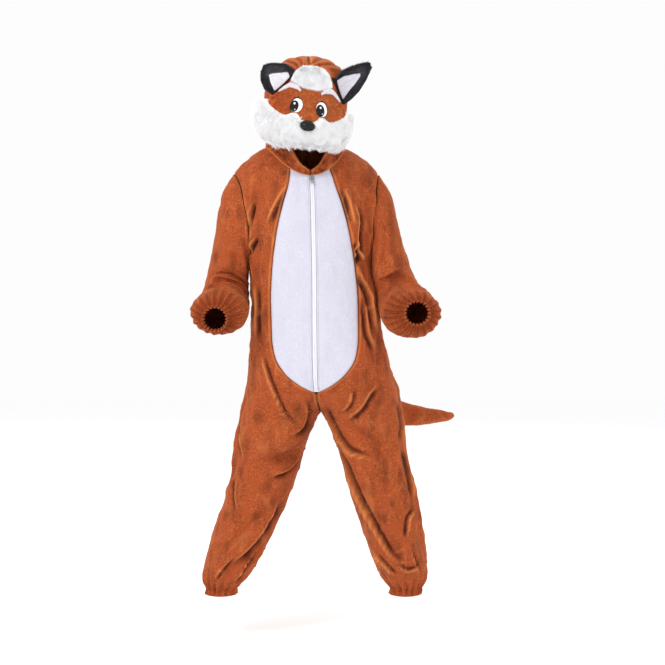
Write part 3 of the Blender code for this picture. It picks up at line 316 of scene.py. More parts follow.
sleeveShape = {
    "right": {
        "s": [0, 0.18, 0.36, 0.52, 0.66, 0.78, 0.88, 0.94, 0.975, 0.985, 1],
        "x": [-172, -186, -195, -203, -208, -214, -217, -220, -224, -225, -226],
        "y": [0, 2, 5, 6, -6, -58, -104, -128, -136, -141, -152],
        "z": [-150, -172, -236, -290, -334, -362, -367, -372, -381, -382, -384],
        "lift": [80, 68, 50, 26, 8, 0, 0, 0, 0, 0, 0],
        "bend": [0, 2, 6, 20, 50, 78, 90, 94, 94, 94, 94],
        "across": [105, 92, 62, 50, 54, 62, 66, 54, 27, 25, 29],
        "deep": [70, 68, 66, 66, 64, 56, 52, 43, 26, 25, 29],
    },
    "left": {
        "s": [0, 0.18, 0.36, 0.52, 0.66, 0.78, 0.88, 0.94, 0.975, 0.985, 1],
        "x": [150, 163, 174, 189, 204, 221, 230, 235, 241, 242, 243],
        "y": [0, 0, -6, -16, -30, -76, -118, -143, -151, -156, -168],
        "z": [-150, -176, -236, -288, -330, -362, -370, -371, -368, -368, -368],
        "lift": [80, 72, 58, 28, 6, 0, 0, 0, 0, 0, 0],
        "bend": [0, 2, 8, 22, 50, 76, 88, 92, 92, 92, 92],
        "across": [105, 90, 62, 48, 54, 62, 67, 56, 27, 25, 29],
        "deep": [70, 68, 66, 66, 66, 60, 56, 46, 26, 25, 29],
    },
}
sleeveFoldTable = {
    "right": [
        (0.5, 60, 0.54, 170, 14, -9), (0.6, 30, 0.62, 180, 12, 9), (0.67, 40, 0.66, 170, 10, -9),
        (0.72, 20, 0.71, 160, 10, 8), (0.77, 40, 0.76, 150, 9, -7), (0.2, 110, 0.42, 140, 14, -7),
        (0.25, 240, 0.55, 300, 16, 6), (0.55, 230, 0.62, 330, 14, -6),
    ],
    "left": [
        (0.56, 60, 0.6, 130, 14, -8), (0.66, 130, 0.69, 60, 10, -9), (0.72, 150, 0.74, 50, 12, 8),
        (0.2, 60, 0.5, 100, 14, 7), (0.25, 100, 0.52, 130, 12, -6), (0.8, 100, 0.84, 30, 12, -5),
        (0.25, 240, 0.55, 300, 16, 6), (0.55, 230, 0.62, 330, 14, -6),
    ],
}
hoodShape = {
    "z": [20, 28, 36, 48, 66, 84, 92, 115, 140, 165, 180, 205, 225, 238, 244, 245.5],
    "shift": [0, -2, -4, -8, -14, -20, -23, -29, -35, -41, -43, -48, -51, -53, -54, -54],
    "wide": [94, 92, 91, 90, 91, 94, 95, 98, 98, 95, 91, 79, 60, 38, 16, 0.6],
    "front": [78, 76, 76, 76, 78, 82, 84, 90, 93, 92, 89, 78, 60, 38, 16, 0.6],
    "back": [62, 65, 68, 74, 82, 89, 92, 98, 100, 98, 95, 83, 64, 41, 18, 0.6],
    "dip": [68, 65, 61, 52, 38, 24, 19, 8, 0, 0, 0, 0, 0, 0, 0, 0],
    "open": [0, 0, 20, 36, 46, 30, 0, 0, 0, 0, 0, 0, 0, 0, 0, 0],
}
foxShape = {
    "h": [-98, -84, -66, -40, -10, 12, 36, 60, 84, 104, 118],
    "wide": [96, 105, 112, 118, 118, 112, 105, 99, 88, 76, 62],
    "front": [112, 124, 132, 137, 136, 130, 120, 112, 99, 84, 72],
}
maskLow = {
    "turn": [-56, -48, -22, -18, -14, -10, -5.5, 0, 5.5, 10, 14, 18, 22, 48, 56],
    "h": [5, -1, -18, -15, -10, -10, -21, -22, -21, -10, -10, -15, -18, -1, 5],
}
maskHigh = {
    "turn": [-56, -46, -37, -30, -24, -18, -10, 0, 10, 18, 24, 30, 37, 46, 56],
    "h": [12, 16, 34, 49, 59, 57, 51, 50, 51, 57, 59, 49, 34, 16, 12],
}
ruffLow = {
    "turn": [-94, -70, -45, -11, 13, 45, 66, 94],
    "h": [-66, -84, -93, -87, -81, -83, -84, -70],
}
ruffHigh = {
    "turn": [-94, -56, -48, -22, -18, -14, -10, -5.5, 0, 5.5, 10, 14, 18, 22, 48, 56, 94],
    "h": [-8, 5, -1, -18, -15, -10, -10, -21, -22, -21, -10, -10, -15, -18, -1, 5, -8],
}
tuftHigh = {
    "turn": [-27, -22, -12, 0, 12, 22, 27],
    "h": [70, 86, 95, 97, 95, 86, 70],
}
tailShape = {
    "x": [40, 58, 92, 145, 216, 290, 332, 349, 354],
    "y": [118, 141, 160, 174, 182, 188, 190, 190, 190],
    "z": [-530, -556, -582, -612, -635, -642, -642, -641, -641],
    "half": [32, 41, 43, 39, 31, 20, 13, 7, 1.5],
}

neckZ, hemZ, shoulderZ, armpitZ, tummyEndZ = 20.0, -1056.0, -45.0, -255.0, -556.0
armMiddle, armHalf = (shoulderZ + armpitZ) / 2, (shoulderZ - armpitZ) / 2
halfRingLong, sleeveLong = 480, 560
velourThick, fleeceThick, seam, edgeStep = 2.0, 1.6, 0.3, 1e-3
armReach, zipHalf, armClear = 0.155, 5.0, 3.6
ankleGatherCount, wristGatherCount = 18, 20
foxMiddle, foxTilt, muzzle = (-20.0, -42.0, 118.0), (10.0, 7.0, 9.0), (-30.0, 26.0, 44.0, 34.0)
faceLift, maskLift, liningLift, tailLift, earDrop, hoodClear, thinEdge = 0.5, 1.1, 0.6, 1.2, 0.6, 0.8, 3.0
earThick, earCup, liningThick, zipDrop = 9.0, 5.0, 1.6, 0.5
earShape = {
    "right": {
        "outer": [(-85, -62, 17), (-103, -54, 25), (-114, -45, 44), (-116, -38, 62), (-112, -33, 78)],
        "inner": [(-49, -80, 66), (-47, -76, 83), (-64, -59, 90), (-85, -44, 88), (-101, -35, 84)],
    },
    "left": {
        "outer": [(87, -58, 21), (103, -54, 37), (117, -48, 56), (130, -40, 84), (139, -30, 115)],
        "inner": [(56, -74, 76), (68, -60, 97), (88, -51, 110), (111, -42, 121), (131, -33, 126)],
    },
}
liningShape = {
    "right": {"row": [0.1, 1, 1.5, 1.95], "start": [0.18, 0.25, 0.28, 0.32], "end": [0.92, 0.82, 0.64, 0.42]},
    "left": {"row": [0.1, 1, 2, 2.6], "start": [0.20, 0.28, 0.36, 0.45], "end": [0.92, 0.80, 0.68, 0.56]},
}


def suitFolds(t, z, side):
    # All broad folds of one half of the suit, on the cloth laid flat.
    total = np.zeros(np.broadcast(t, z).shape)
    for t1, z1, t2, z2, spread, high in broadFolds["both"] + broadFolds["left" if side > 0 else "right"]:
        total = total + ridge(t * halfRingLong, z, t1 * halfRingLong, z1, t2 * halfRingLong, z2, spread, high)
    return total * np.clip(np.minimum(t, 1 - t) / 0.06, 0, 1) * np.clip((z - hemZ - 20) / 40, 0, 1)


def sleeveFolds(s, angle, word):
    # Folds and wrist gathers of a sleeve, laid flat with a degree round it as a mm.
    degrees = np.degrees(angle) % 360
    total = np.zeros(s.shape)
    for s1, a1, s2, a2, spread, high in sleeveFoldTable[word]:
        total = total + ridge(degrees, s * sleeveLong, a1, s1 * sleeveLong, a2, s2 * sleeveLong, spread, high)
    body = np.clip((s - 0.12) / 0.1, 0, 1) * np.clip((0.9 - s) / 0.06, 0, 1)
    drawn = np.clip((s - 0.86) / 0.08, 0, 1) * np.where(s > 0.965, 1.6, 3.4)
    return total * body + drawn * np.cos(wristGatherCount * angle)


def earFront(word, row, share):
    # Front of an ear in the head's frame, at a row of its table and a share across it.
    outer, inner = (np.array(earShape[word][edge], float) for edge in ("outer", "inner"))
    places = np.arange(len(outer))
    a, b = (np.stack([np.interp(row, places, e[:, k]) for k in range(3)], -1) for e in (outer, inner))
    return a + (b - a) * np.asarray(share, float)[..., None]


def earBackWay(word):
    # The way from the ear's front to its back, square to its middle.
    outer, inner = (np.array(earShape[word][edge], float) for edge in ("outer", "inner"))
    way = unit(np.cross(inner[0] - outer[0], inner[-1] + outer[-1] - inner[0] - outer[0]))
    return way * np.sign(way[1])


def powered(value, square):
    return np.sign(value) * np.abs(value) ** (2 / square)


def stand(points):
    # Shifts and turns points to the wearer's stance at their height.
    z = points[..., 2]
    yaw = np.radians(column(stance, "yaw", z))
    x = points[..., 0] * np.cos(yaw) - points[..., 1] * np.sin(yaw) + column(stance, "sway", z)
    y = points[..., 0] * np.sin(yaw) + points[..., 1] * np.cos(yaw)
    return np.stack([x, y, z], -1)


def unstood(points, z):
    # The way back from the stance at height z: distance across and backwards, and the turn.
    yaw = np.radians(column(stance, "yaw", z))
    x, y = points[..., 0] - column(stance, "sway", z), points[..., 1]
    return x * np.cos(yaw) + y * np.sin(yaw), y * np.cos(yaw) - x * np.sin(yaw), yaw


def ridge(u, v, u1, v1, u2, v2, spread, high):
    # Height of one fold at (u, v), in mm on both axes: a soft ridge that fades out at its ends.
    du, dv = u2 - u1, v2 - v1
    length = np.hypot(du, dv)
    along = ((u - u1) * du + (v - v1) * dv) / length**2
    off = ((u - u1) * dv - (v - v1) * du) / length
    ends = np.clip(1.25 - np.abs(along - 0.5) * 2, 0, 1)
    return high * np.exp(-((off / spread) ** 2)) * ends * ends * (3 - 2 * ends)


def ankleGathers(t, z):
    # Gathers drawn up by the ankle elastic, deepest just above it.
    deep = 3.2 * np.exp(-(((z + 1024) / 20) ** 2)) + 2.2 * (z < -1036) + 0.8
    return deep * np.cos(2 * np.pi * ankleGatherCount * t) * (z < -985)


def ringShape(z):
    # Of the suit's ring at height z: its middle, half width and squareness, and the turn that one half spans.
    centre, wide, square = (column(suitShape, c, z) for c in ("centre", "wide", "square"))
    return centre, wide, square, np.pi - np.arccos(np.clip(centre / wide, 0, 1) ** (square / 2))


def frontDip(shape, t, z):
    # How much lower a ring runs at t than at the side.
    return column(shape, "dip", z) * np.cos(np.pi * np.minimum(t, 0.5)) ** 2


def suitBase(t, z, side):
    # A point of the suit before folds. t runs 0 to 1 from the front middle round the side to the back.
    t, z = np.broadcast_arrays(np.asarray(t, float), np.asarray(z, float))
    centre, wide, square, halfTurn = ringShape(z)
    front, back = column(suitShape, "front", z), column(suitShape, "back", z)
    share = 2 * t - 1
    turn = share * np.pi / 2 + (halfTurn - np.pi / 2) * share * np.abs(share)
    x = np.maximum(centre + wide * powered(np.cos(turn), square), seam / 2)
    depth = np.where(turn < 0, front, back)
    y = column(suitShape, "shift", z) + depth * powered(np.sin(turn), square)
    return np.stack([side * x, y, z - frontDip(suitShape, t, z)], -1)


def normals(surface, u, v):
    # Outward unit normals of surface(u, v), from its slopes.
    du = surface(u + edgeStep, v) - surface(u - edgeStep, v)
    dv = surface(u, v + 1.0) - surface(u, v - 1.0)
    return unit(np.cross(du, dv))


def clothPoint(form, t, z, side, levels, relief):
    # Outer point, and the way out of the cloth, of form(t, z, side) with a relief in mm laid on it.
    t, z = np.broadcast_arrays(np.asarray(t, float), np.asarray(z, float))
    inside = np.clip(t, 2 * edgeStep, 1 - 2 * edgeStep)
    out = normals(lambda u, v: form(u, v, side), inside, np.clip(z, *levels)) * side
    base = form(t, z, side)
    return stand(base + out * relief(t, z)[..., None]), unit(stand(base + out) - stand(base))


def suit(t, z, side):
    # One half of the suit with its broad folds and the ankle's gathers.
    return clothPoint(suitBase, t, z, side, (hemZ + 1, neckZ - 1),
                      lambda t, z: suitFolds(t, z, side) + ankleGathers(t, z))


def armhole(z):
    # Half the armhole's width at height z, as a share of the half ring.
    return armReach * np.sqrt(np.clip(1 - ((z - armMiddle) / armHalf) ** 2, 0, 1))


def frontShare(half, z):
    # t of the point on the front that lies half from the body's middle plane at height z.
    centre, wide, square, halfTurn = ringShape(z)
    turn = np.arccos(np.clip(powered((half - centre) / wide, 4 / square), -1, 1))
    extra = halfTurn - np.pi / 2
    straight = np.pi / 2
    share = (np.sqrt(straight**2 + 4 * extra * turn) - straight) / np.maximum(2 * extra, 1e-6)
    share = np.where(extra < 1e-4, turn / straight, share)
    return 0.5 * (1 - share)


def tummyEdge(z):
    return frontShare(column(tummyShape, "half", z), z)


def zipEdge(z):
    return frontShare(zipHalf, z)


def sleeveRing(s, angle, word):
    # A point of the sleeve's plain ring at s. The angle is 0 outside and a quarter turn at the front.
    side = 1 if word == "left" else -1
    table = sleeveShape[word]
    x, y, z, lift, bend, across, deep = (
        column(table, c, s) for c in ("x", "y", "z", "lift", "bend", "across", "deep")
    )
    lift, bend = np.radians(lift), np.radians(bend)
    zero = np.zeros_like(lift)
    outward = np.stack([side * np.cos(lift), zero, np.sin(lift)], -1)
    down = np.stack([side * np.sin(lift), zero, -np.cos(lift)], -1)
    forward = np.stack([zero, zero - 1, zero], -1)
    upper = forward * np.cos(bend)[..., None] - down * np.sin(bend)[..., None]
    c, d = np.cos(angle), np.sin(angle)
    middle = np.stack([x, y, z], -1)
    return middle + outward * (across * c)[..., None] + upper * (deep * d)[..., None]


def armholeRing(angle, side):
    # The armhole's edge on the suit: outer points, and the way out of the suit's cloth.
    return suit(0.5 - armReach * np.sin(angle), armMiddle + armHalf * np.cos(angle), side)


def clearOfSuit(points, side, clear):
    # Moves points sideways, where they need it, to stand at least clear off the suit's outside.
    z = points[:, 2]
    across, back, yaw = unstood(points, z)
    wide, square, centre = (column(suitShape, c, z) for c in ("wide", "square", "centre"))
    back = back - column(suitShape, "shift", z)
    depth = np.where(back < 0, column(suitShape, "front", z), column(suitShape, "back", z))
    share = np.clip(np.abs(back) / (depth + clear), 0, 1)
    turn = np.arcsin(share ** (square / 2)) * np.sign(back)
    fold = suitFolds(0.5 * (1 + turn / (np.pi / 2)), z, side)
    reach = centre + (wide + clear + np.maximum(fold, 0)) * np.cos(turn) ** (2 / square)
    short = np.where((share < 1) & (z < 0), np.maximum(reach - side * across, 0), 0)
    moved = points.copy()
    moved[:, 0] += side * short * np.cos(yaw)
    moved[:, 1] += side * short * np.sin(yaw)
    return moved


def sleeve(s, angle, word):
    # Outer points of the sleeve: the armhole's edge, eased into the plain rings further down.
    side = 1 if word == "left" else -1
    s, angle = np.broadcast_arrays(np.asarray(s, float), np.asarray(angle, float))
    edge = armholeRing(angle.ravel(), side)[0]
    ease = eased(s / 0.34)[..., None]
    return edge.reshape(*s.shape, 3) * (1 - ease) + sleeveRing(s, angle, word) * ease


def hoodBase(t, z, side):
    # A point of one half of the hood. t is 0 at the front middle and 1 at the back middle.
    t, z = np.broadcast_arrays(np.asarray(t, float), np.asarray(z, float))
    wide, front, back = (column(hoodShape, c, z) for c in ("wide", "front", "back"))
    turn = (2 * t - 1) * np.pi / 2
    x = np.maximum(wide * np.cos(turn), seam / 2)
    y = column(hoodShape, "shift", z) + np.where(turn < 0, front, back) * np.sin(turn)
    return np.stack([side * x, y, z - frontDip(hoodShape, t, z)], -1)


def hood(t, z, side):
    return clothPoint(hoodBase, t, z, side, (neckZ + 1, 242), lambda t, z: 0 * z)


def foxPlace(local):
    # From the fox head's own frame to the suit's.
    pitch, yaw, roll = np.radians((foxTilt[0], foxTilt[1], foxTilt[2]))
    x, y, z = local[..., 0], local[..., 1], local[..., 2]
    y, z = y * np.cos(pitch) - z * np.sin(pitch), y * np.sin(pitch) + z * np.cos(pitch)
    x, z = x * np.cos(roll) + z * np.sin(roll), z * np.cos(roll) - x * np.sin(roll)
    x, y = x * np.cos(yaw) - y * np.sin(yaw), x * np.sin(yaw) + y * np.cos(yaw)
    return np.stack([x, y, z], -1) + np.array(foxMiddle)


def foxRay(turn, h, reach):
    # The point at a reach from the fox head's own upright, turn in degrees from the front middle.
    angle = np.radians(turn)
    return foxPlace(np.stack([reach * np.sin(angle), -reach * np.cos(angle), h + 0 * reach], -1))


def foxReach(turn, h):
    # How far the fox head's outside is from its upright: an oval and the bump of the muzzle.
    angle = np.radians(turn)
    wide, front = column(foxShape, "wide", h), column(foxShape, "front", h)
    oval = 1 / np.sqrt((np.sin(angle) / wide) ** 2 + (np.cos(angle) / front) ** 2)
    off = (oval * angle / muzzle[2]) ** 2 + ((h - muzzle[0]) / muzzle[3]) ** 2
    return oval + muzzle[1] * np.exp(-off)


def inHood(points):
    # Whether points are inside the hood's outside.
    z = np.maximum(points[..., 2], neckZ)
    across, back, _ = unstood(points, z)
    row = z
    for _ in range(4):
        wide, front, deep, shift = (column(hoodShape, c, row) for c in ("wide", "front", "back", "shift"))
        depth = np.where(back < shift, front, deep)
        turn = np.arctan2((back - shift) / depth, np.abs(across) / wide)
        row = z + frontDip(hoodShape, 0.5 + turn / np.pi, row)
    return (across / wide) ** 2 + ((back - shift) / depth) ** 2 < 1


def foxSeat(turn, h):
    # Reach of the hood's outside, with a little room, along the fox head's ray.
    low, high = np.zeros(np.broadcast(turn, h).shape), np.full(np.broadcast(turn, h).shape, 260.0)
    for _ in range(26):
        middle = (low + high) / 2
        inside = inHood(foxRay(turn, h, middle))
        low, high = np.where(inside, middle, low), np.where(inside, high, middle)
    return high + hoodClear


def facePoint(turn, h, lift):
    # A point lift mm off the face, along the head's own ray.
    return foxRay(turn, h, foxReach(turn, h) + lift)


def onHead(local, seated):
    # Places points of the head's frame, none closer to it than the hood allows, or all on the hood.
    turn = np.degrees(np.arctan2(local[:, 0], -local[:, 1]))
    reach, seat = np.hypot(local[:, 0], local[:, 1]), foxSeat(turn, local[:, 2])
    return foxRay(turn, local[:, 2], seat - earDrop if seated else np.maximum(reach, seat + thinEdge))


def backDepth(x, z):
    # How far back the suit's outside is at x and height z.
    t = np.linspace(0.45, 1, 56)
    found = []
    for px, pz in zip(x, z):
        left, right = suit(t, np.full(56, pz), 1)[0], suit(t, np.full(56, pz), -1)[0]
        line = np.concatenate([right, left[::-1]])
        found.append(np.interp(px, line[:, 0], line[:, 1]))
    return np.array(found)


def zipFrame(z):
    # Middle of the zip's tape at a row of the suit, and the ways across, up and out.
    left, outLeft = suit(zipEdge(z), z, 1)
    right, outRight = suit(zipEdge(z), z, -1)
    across, out = unit(left - right), unit(outLeft + outRight)
    up = unit(np.cross(out, across))
    return (left + right) / 2 - out * (zipDrop - seam), across, up, np.cross(across, up)


# Folds seen from the front, traced as (x, z) lines with their half width, height, trough and trough's side.
foldLines = {
    "rightLeg": [
        ([(-125, -455), (-109, -509), (-90, -560), (-69, -605), (-36, -654)], 7, 5, -4, 1),
        ([(-24, -570), (-15, -603), (-27, -645), (-57, -659)], 9, 5, -4, 1),
        ([(-151, -570), (-163, -610), (-170, -649), (-165, -729)], 8, 6, -5, -1),
        ([(-24, -685), (-36, -715), (-55, -739), (-76, -750), (-104, -760)], 9, 10, -9, 1),
        ([(-181, -767), (-184, -804), (-179, -846)], 7, 5, -4, -1),
        ([(-78, -809), (-109, -874), (-146, -924), (-203, -975)], 10, 7, -6, 1),
        ([(-137, -940), (-165, -982), (-196, -1020)], 6, 6, -5, 1),
        ([(-156, -963), (-174, -996), (-188, -1024)], 5, 5, -4, 1),
        ([(-188, -949), (-217, -982), (-238, -1015)], 6, 5, -4, 1),
    ],
    "leftLeg": [
        ([(18, -582), (39, -628), (60, -671), (93, -703), (125, -710), (144, -727)], 9, 9, -8, 1),
        ([(51, -649), (60, -696), (81, -750), (104, -802), (130, -851), (156, -900), (179, -940),
         (207, -966), (243, -968)], 9, 10, -9, 1),
        ([(48, -659), (60, -720), (81, -783), (97, -828), (125, -891)], 7, 6, -6, 1),
        ([(156, -535), (135, -556), (114, -589), (76, -624)], 10, 5, -4, 1),
        ([(93, -542), (88, -575), (69, -603)], 8, 4, -3, 1),
        ([(205, -575), (217, -631), (212, -682)], 8, 5, -5, -1),
        ([(215, -682), (229, -739), (238, -785), (243, -821)], 8, 5, -5, -1),
        ([(245, -839), (229, -865), (224, -907)], 7, 6, -5, -1),
        ([(140, -940), (172, -975), (200, -1003)], 7, 6, -5, 1),
        ([(200, -973), (229, -989), (261, -975)], 7, 5, -4, 1),
        ([(233, -938), (243, -968), (252, -996)], 6, 4, -3, 1),
    ],
    "rightChest": [
        ([(-179, -73), (-177, -134), (-163, -200), (-144, -265), (-137, -303)], 9, 7, -8, -1),
        ([(-139, -106), (-149, -148), (-153, -181)], 7, 6, -9, 1),
        ([(-132, -190), (-146, -216), (-153, -237)], 7, 5, -8, 1),
        ([(-139, -298), (-132, -364), (-135, -434)], 8, 4, -4, 1),
        ([(-55, -64), (-83, -106), (-109, -164)], 12, 3, -2, 1),
        ([(-48, -97), (-69, -153), (-99, -223)], 12, 3, -2, 1),
    ],
    "leftChest": [
        ([(93, -106), (107, -157), (104, -214), (95, -251), (88, -284)], 9, 6, -6, 1),
        ([(100, -256), (116, -293), (135, -331), (142, -378), (154, -429)], 9, 7, -7, -1),
        ([(102, -200), (111, -228), (121, -251)], 8, 6, -9, -1),
        ([(125, -340), (130, -410), (149, -462)], 9, 4, -4, -1),
        ([(72, -73), (88, -118), (97, -167)], 12, 3, -2, -1),
    ],
    "rightSleeve": [
        ([(-188, -48), (-186, -105), (-179, -166), (-165, -228), (-146, -285)], 7, 6, -6, -1),
        ([(-155, -270), (-188, -282), (-219, -301), (-245, -325)], 7, 7, -8, 1),
        ([(-143, -296), (-181, -301), (-217, -313), (-250, -334)], 6, 7, -7, 1),
        ([(-146, -322), (-176, -322), (-214, -327), (-254, -348)], 6, 7, -7, 1),
        ([(-181, -356), (-169, -370), (-191, -393)], 6, 4, -5, 1),
    ],
    "leftSleeve": [
        ([(149, -120), (152, -176), (142, -228), (147, -298), (159, -355)], 8, 7, -7, -1),
        ([(182, -164), (192, -223), (203, -270), (215, -298)], 8, 5, -4, -1),
        ([(156, -327), (182, -312), (210, -305)], 7, 7, -9, -1),
        ([(163, -341), (194, -324), (225, -322), (262, -341)], 7, 5, -5, -1),
        ([(109, -115), (123, -167), (135, -223)], 8, 5, -5, -1),
    ],
    "back": [
        ([(-120, -90), (-60, -130), (-40, -210)], 12, 3, -2.5, 1),
        ([(95, -80), (60, -140), (30, -220)], 12, 3, -2.5, -1),
        ([(-140, -330), (-70, -370), (10, -380)], 11, 4, -3.5, 1),
        ([(150, -350), (90, -385), (30, -395)], 11, 4, -3.5, -1),
        ([(-140, -410), (-80, -440), (-20, -450)], 12, 3.5, -3.5, 1),
        ([(-130, -560), (-80, -610), (-30, -625)], 11, 4.5, -5, 1),
        ([(190, -590), (130, -630), (60, -640)], 11, 4.5, -5, -1),
        ([(-60, -700), (-110, -740), (-170, -760)], 11, 4.5, -5, 1),
        ([(80, -700), (130, -750), (210, -765)], 11, 4.5, -5, -1),
        ([(-70, -790), (-120, -850), (-190, -890)], 11, 4, -4.5, 1),
        ([(100, -800), (150, -860), (230, -890)], 11, 4, -4.5, -1),
        ([(-130, -940), (-180, -990), (-215, -1020)], 7, 6, -5, 1),
        ([(160, -930), (210, -985), (255, -1010)], 7, 6, -5, -1),
        ([(-20, -470), (0, -540), (4, -590)], 11, 3, -3, 1),
    ],
}


# Materials: every one is procedural, in object coordinates, with colour, painted highlights and painted shade
# kept in the mesh's own marks.
def newPaint(name, rough, **sockets):
    paint = bpy.data.materials.new(name)
    paint.use_nodes = True
    shader = paint.node_tree.nodes["Principled BSDF"]
    shader.inputs["Roughness"].default_value = rough
    for key, value in sockets.items():
        shader.inputs[key.replace("_", " ")].default_value = value
    return paint, shader


def node(paint, kind, values=None, links=None, **settings):
    made = paint.node_tree.nodes.new(kind)
    for key, value in settings.items():
        setattr(made, key, value)
    for key, value in (values or {}).items():
        made.inputs[key].default_value = value
    for key, source in (links or {}).items():
        paint.node_tree.links.new(source, made.inputs[key])
    return made


def grain(paint, scale, detail=3.0, stretch=(1, 1, 1)):
    place = node(paint, "ShaderNodeTexCoord")
    spread = node(paint, "ShaderNodeMapping", {"Scale": stretch}, {"Vector": place.outputs["Object"]})
    return node(paint, "ShaderNodeTexNoise", {"Scale": scale, "Detail": detail, "Roughness": 0.6},
                {"Vector": spread.outputs["Vector"]}).outputs["Fac"]


def levels(paint, source, low, high):
    made = node(paint, "ShaderNodeMapRange", {"From Min": low, "From Max": high}, {"Value": source})
    return made.outputs["Result"]


def blend(paint, factor, first, second):
    # Mixes two colours, each a colour or another node's output.
    made = node(paint, "ShaderNodeMix", data_type="RGBA")
    paint.node_tree.links.new(factor, made.inputs[0])
    for socket, value in ((6, first), (7, second)):
        if isinstance(value, tuple):
            made.inputs[socket].default_value = (*value, 1)
        else:
            paint.node_tree.links.new(value, made.inputs[socket])
    return made.outputs[2]


def mark(paint, name):
    return node(paint, "ShaderNodeAttribute", attribute_name=name).outputs["Fac"]


def bumped(paint, shader, source, strength, deep):
    lift = node(paint, "ShaderNodeBump", {"Strength": strength, "Distance": deep}, {"Height": source})
    paint.node_tree.links.new(lift.outputs["Normal"], shader.inputs["Normal"])


def pilePaint(name, colours, sheen=0.35, tint=(1, 0.45, 0.2), speckle=900, deep=0.0006, contrast=0.5):
    # A cloth with a pile: speckled fibres and softer cloudy patches, with painted shade in hollows and a
    # painted highlight on rims, both laid on from the mesh's marks.
    paint, shader = newPaint(name, 0.9, Sheen_Weight=sheen, Sheen_Roughness=0.35, Sheen_Tint=(*tint, 1),
                             Specular_IOR_Level=0.15)
    fine, tufts, cloud = grain(paint, speckle, 2.0), grain(paint, speckle / 4, 3.0), grain(paint, 28, 2.0)
    mottle = levels(paint, fine, 0.5 - 0.3 * contrast, 0.5 + 0.3 * contrast)
    base = blend(paint, mottle, colours["dark"], colours["light"])
    base = blend(paint, levels(paint, tufts, 0.40, 0.30), base, colours["dark"])
    base = blend(paint, levels(paint, tufts, 0.53, 0.66), base, colours["light"])
    base = blend(paint, levels(paint, cloud, 0.48, 0.80), base, colours["cloud"])
    # Painted shade where the shade mark says, then a painted highlight on fold rims and ridges from the next
    # mark, which on some pieces also carries random lighter tone.
    base = blend(paint, mark(paint, "shade"), base, colours["shade"])
    base = blend(paint, mark(paint, "rim"), base, colours["rim"])
    paint.node_tree.links.new(base, shader.inputs["Base Color"])
    bumped(paint, shader, fine, 0.55, deep)
    return paint


# Each pile's last two colours are painted shade and a painted highlight.
velourPaint = pilePaint("velour", {
    "dark": (0.16, 0.024, 0.008), "light": (0.51, 0.112, 0.030), "cloud": (0.36, 0.066, 0.017),
    "shade": (0.040, 0.007, 0.003), "rim": (0.80, 0.27, 0.085),
})
plushPaint = pilePaint("orangePlush", {
    "dark": (0.34, 0.050, 0.012), "light": (0.74, 0.165, 0.038), "cloud": (0.56, 0.095, 0.020),
    "shade": (0.12, 0.02, 0.006), "rim": (0.85, 0.34, 0.12),
}, speckle=620, contrast=0.3)
fleecePaint = pilePaint("whiteFleece", {
    "dark": (0.53, 0.52, 0.61), "light": (0.63, 0.62, 0.71), "cloud": (0.59, 0.58, 0.67),
    "shade": (0.40, 0.39, 0.47), "rim": (0.76, 0.755, 0.82),
}, sheen=0.2, tint=(0.9, 0.9, 1), speckle=700, contrast=0.9)
furPaint = pilePaint("whiteFur", {
    "dark": (0.94, 0.94, 0.97), "light": (1.0, 1.0, 1.0), "cloud": (0.98, 0.98, 1.0),
    "shade": (0.50, 0.50, 0.54), "rim": (1.0, 1.0, 1.0),
}, sheen=0.2, tint=(1, 1, 1), speckle=420, deep=0.0004, contrast=0.9)
charcoalPaint = pilePaint("charcoalPlush", {
    "dark": (0.012, 0.011, 0.014), "light": (0.055, 0.05, 0.06), "cloud": (0.03, 0.027, 0.033),
    "shade": (0.006, 0.006, 0.007), "rim": (0.10, 0.09, 0.10),
}, sheen=0.25, tint=(0.8, 0.75, 0.8), speckle=500, deep=0.001)


def glossPaint():
    paint, shader = newPaint("blackGloss", 0.08, Specular_IOR_Level=0.25)
    mottle = levels(paint, grain(paint, 260), 0.4, 0.7)
    base = blend(paint, mottle, (0.004, 0.004, 0.005), (0.009, 0.008, 0.010))
    paint.node_tree.links.new(base, shader.inputs["Base Color"])
    bumped(paint, shader, grain(paint, 900), 0.02, 0.0002)
    return paint


def eyePaint():
    # White felt with a black stitched outline where its mark says so.
    paint, shader = newPaint("eyeFelt", 0.6, Specular_IOR_Level=0.3)
    base = blend(paint, grain(paint, 900), (0.86, 0.86, 0.90), (0.97, 0.97, 1.0))
    base = blend(paint, mark(paint, "outline"), base, (0.012, 0.010, 0.012))
    paint.node_tree.links.new(base, shader.inputs["Base Color"])
    bumped(paint, shader, grain(paint, 1200), 0.3, 0.0003)
    return paint


def zipMetalPaint():
    paint, shader = newPaint("zipMetal", 0.28, Metallic=1.0)
    worn = levels(paint, grain(paint, 420, 4.0), 0.35, 0.75)
    base = blend(paint, worn, (0.52, 0.52, 0.54), (0.80, 0.80, 0.82))
    paint.node_tree.links.new(base, shader.inputs["Base Color"])
    rough = node(paint, "ShaderNodeMapRange", {"To Min": 0.2, "To Max": 0.42}, {"Value": worn})
    paint.node_tree.links.new(rough.outputs["Result"], shader.inputs["Roughness"])
    bumped(paint, shader, grain(paint, 1500, 2.0, (1, 6, 1)), 0.15, 0.0001)
    return paint


def tapePaint():
    # The zip's woven tape and coil: fine crosswise ribs.
    paint, shader = newPaint("zipTape", 0.75, Sheen_Weight=0.1)
    place = node(paint, "ShaderNodeTexCoord")
    ribs = node(paint, "ShaderNodeTexWave", {"Scale": 190.0, "Distortion": 0.4},
                {"Vector": place.outputs["Object"]}, bands_direction="Z")
    base = blend(paint, ribs.outputs["Fac"], (0.66, 0.65, 0.72), (0.84, 0.83, 0.90))
    paint.node_tree.links.new(base, shader.inputs["Base Color"])
    bumped(paint, shader, ribs.outputs["Fac"], 0.4, 0.0003)
    return paint


gloss, felt, zipMetal, tape = glossPaint(), eyePaint(), zipMetalPaint(), tapePaint()
print("stage: materials")


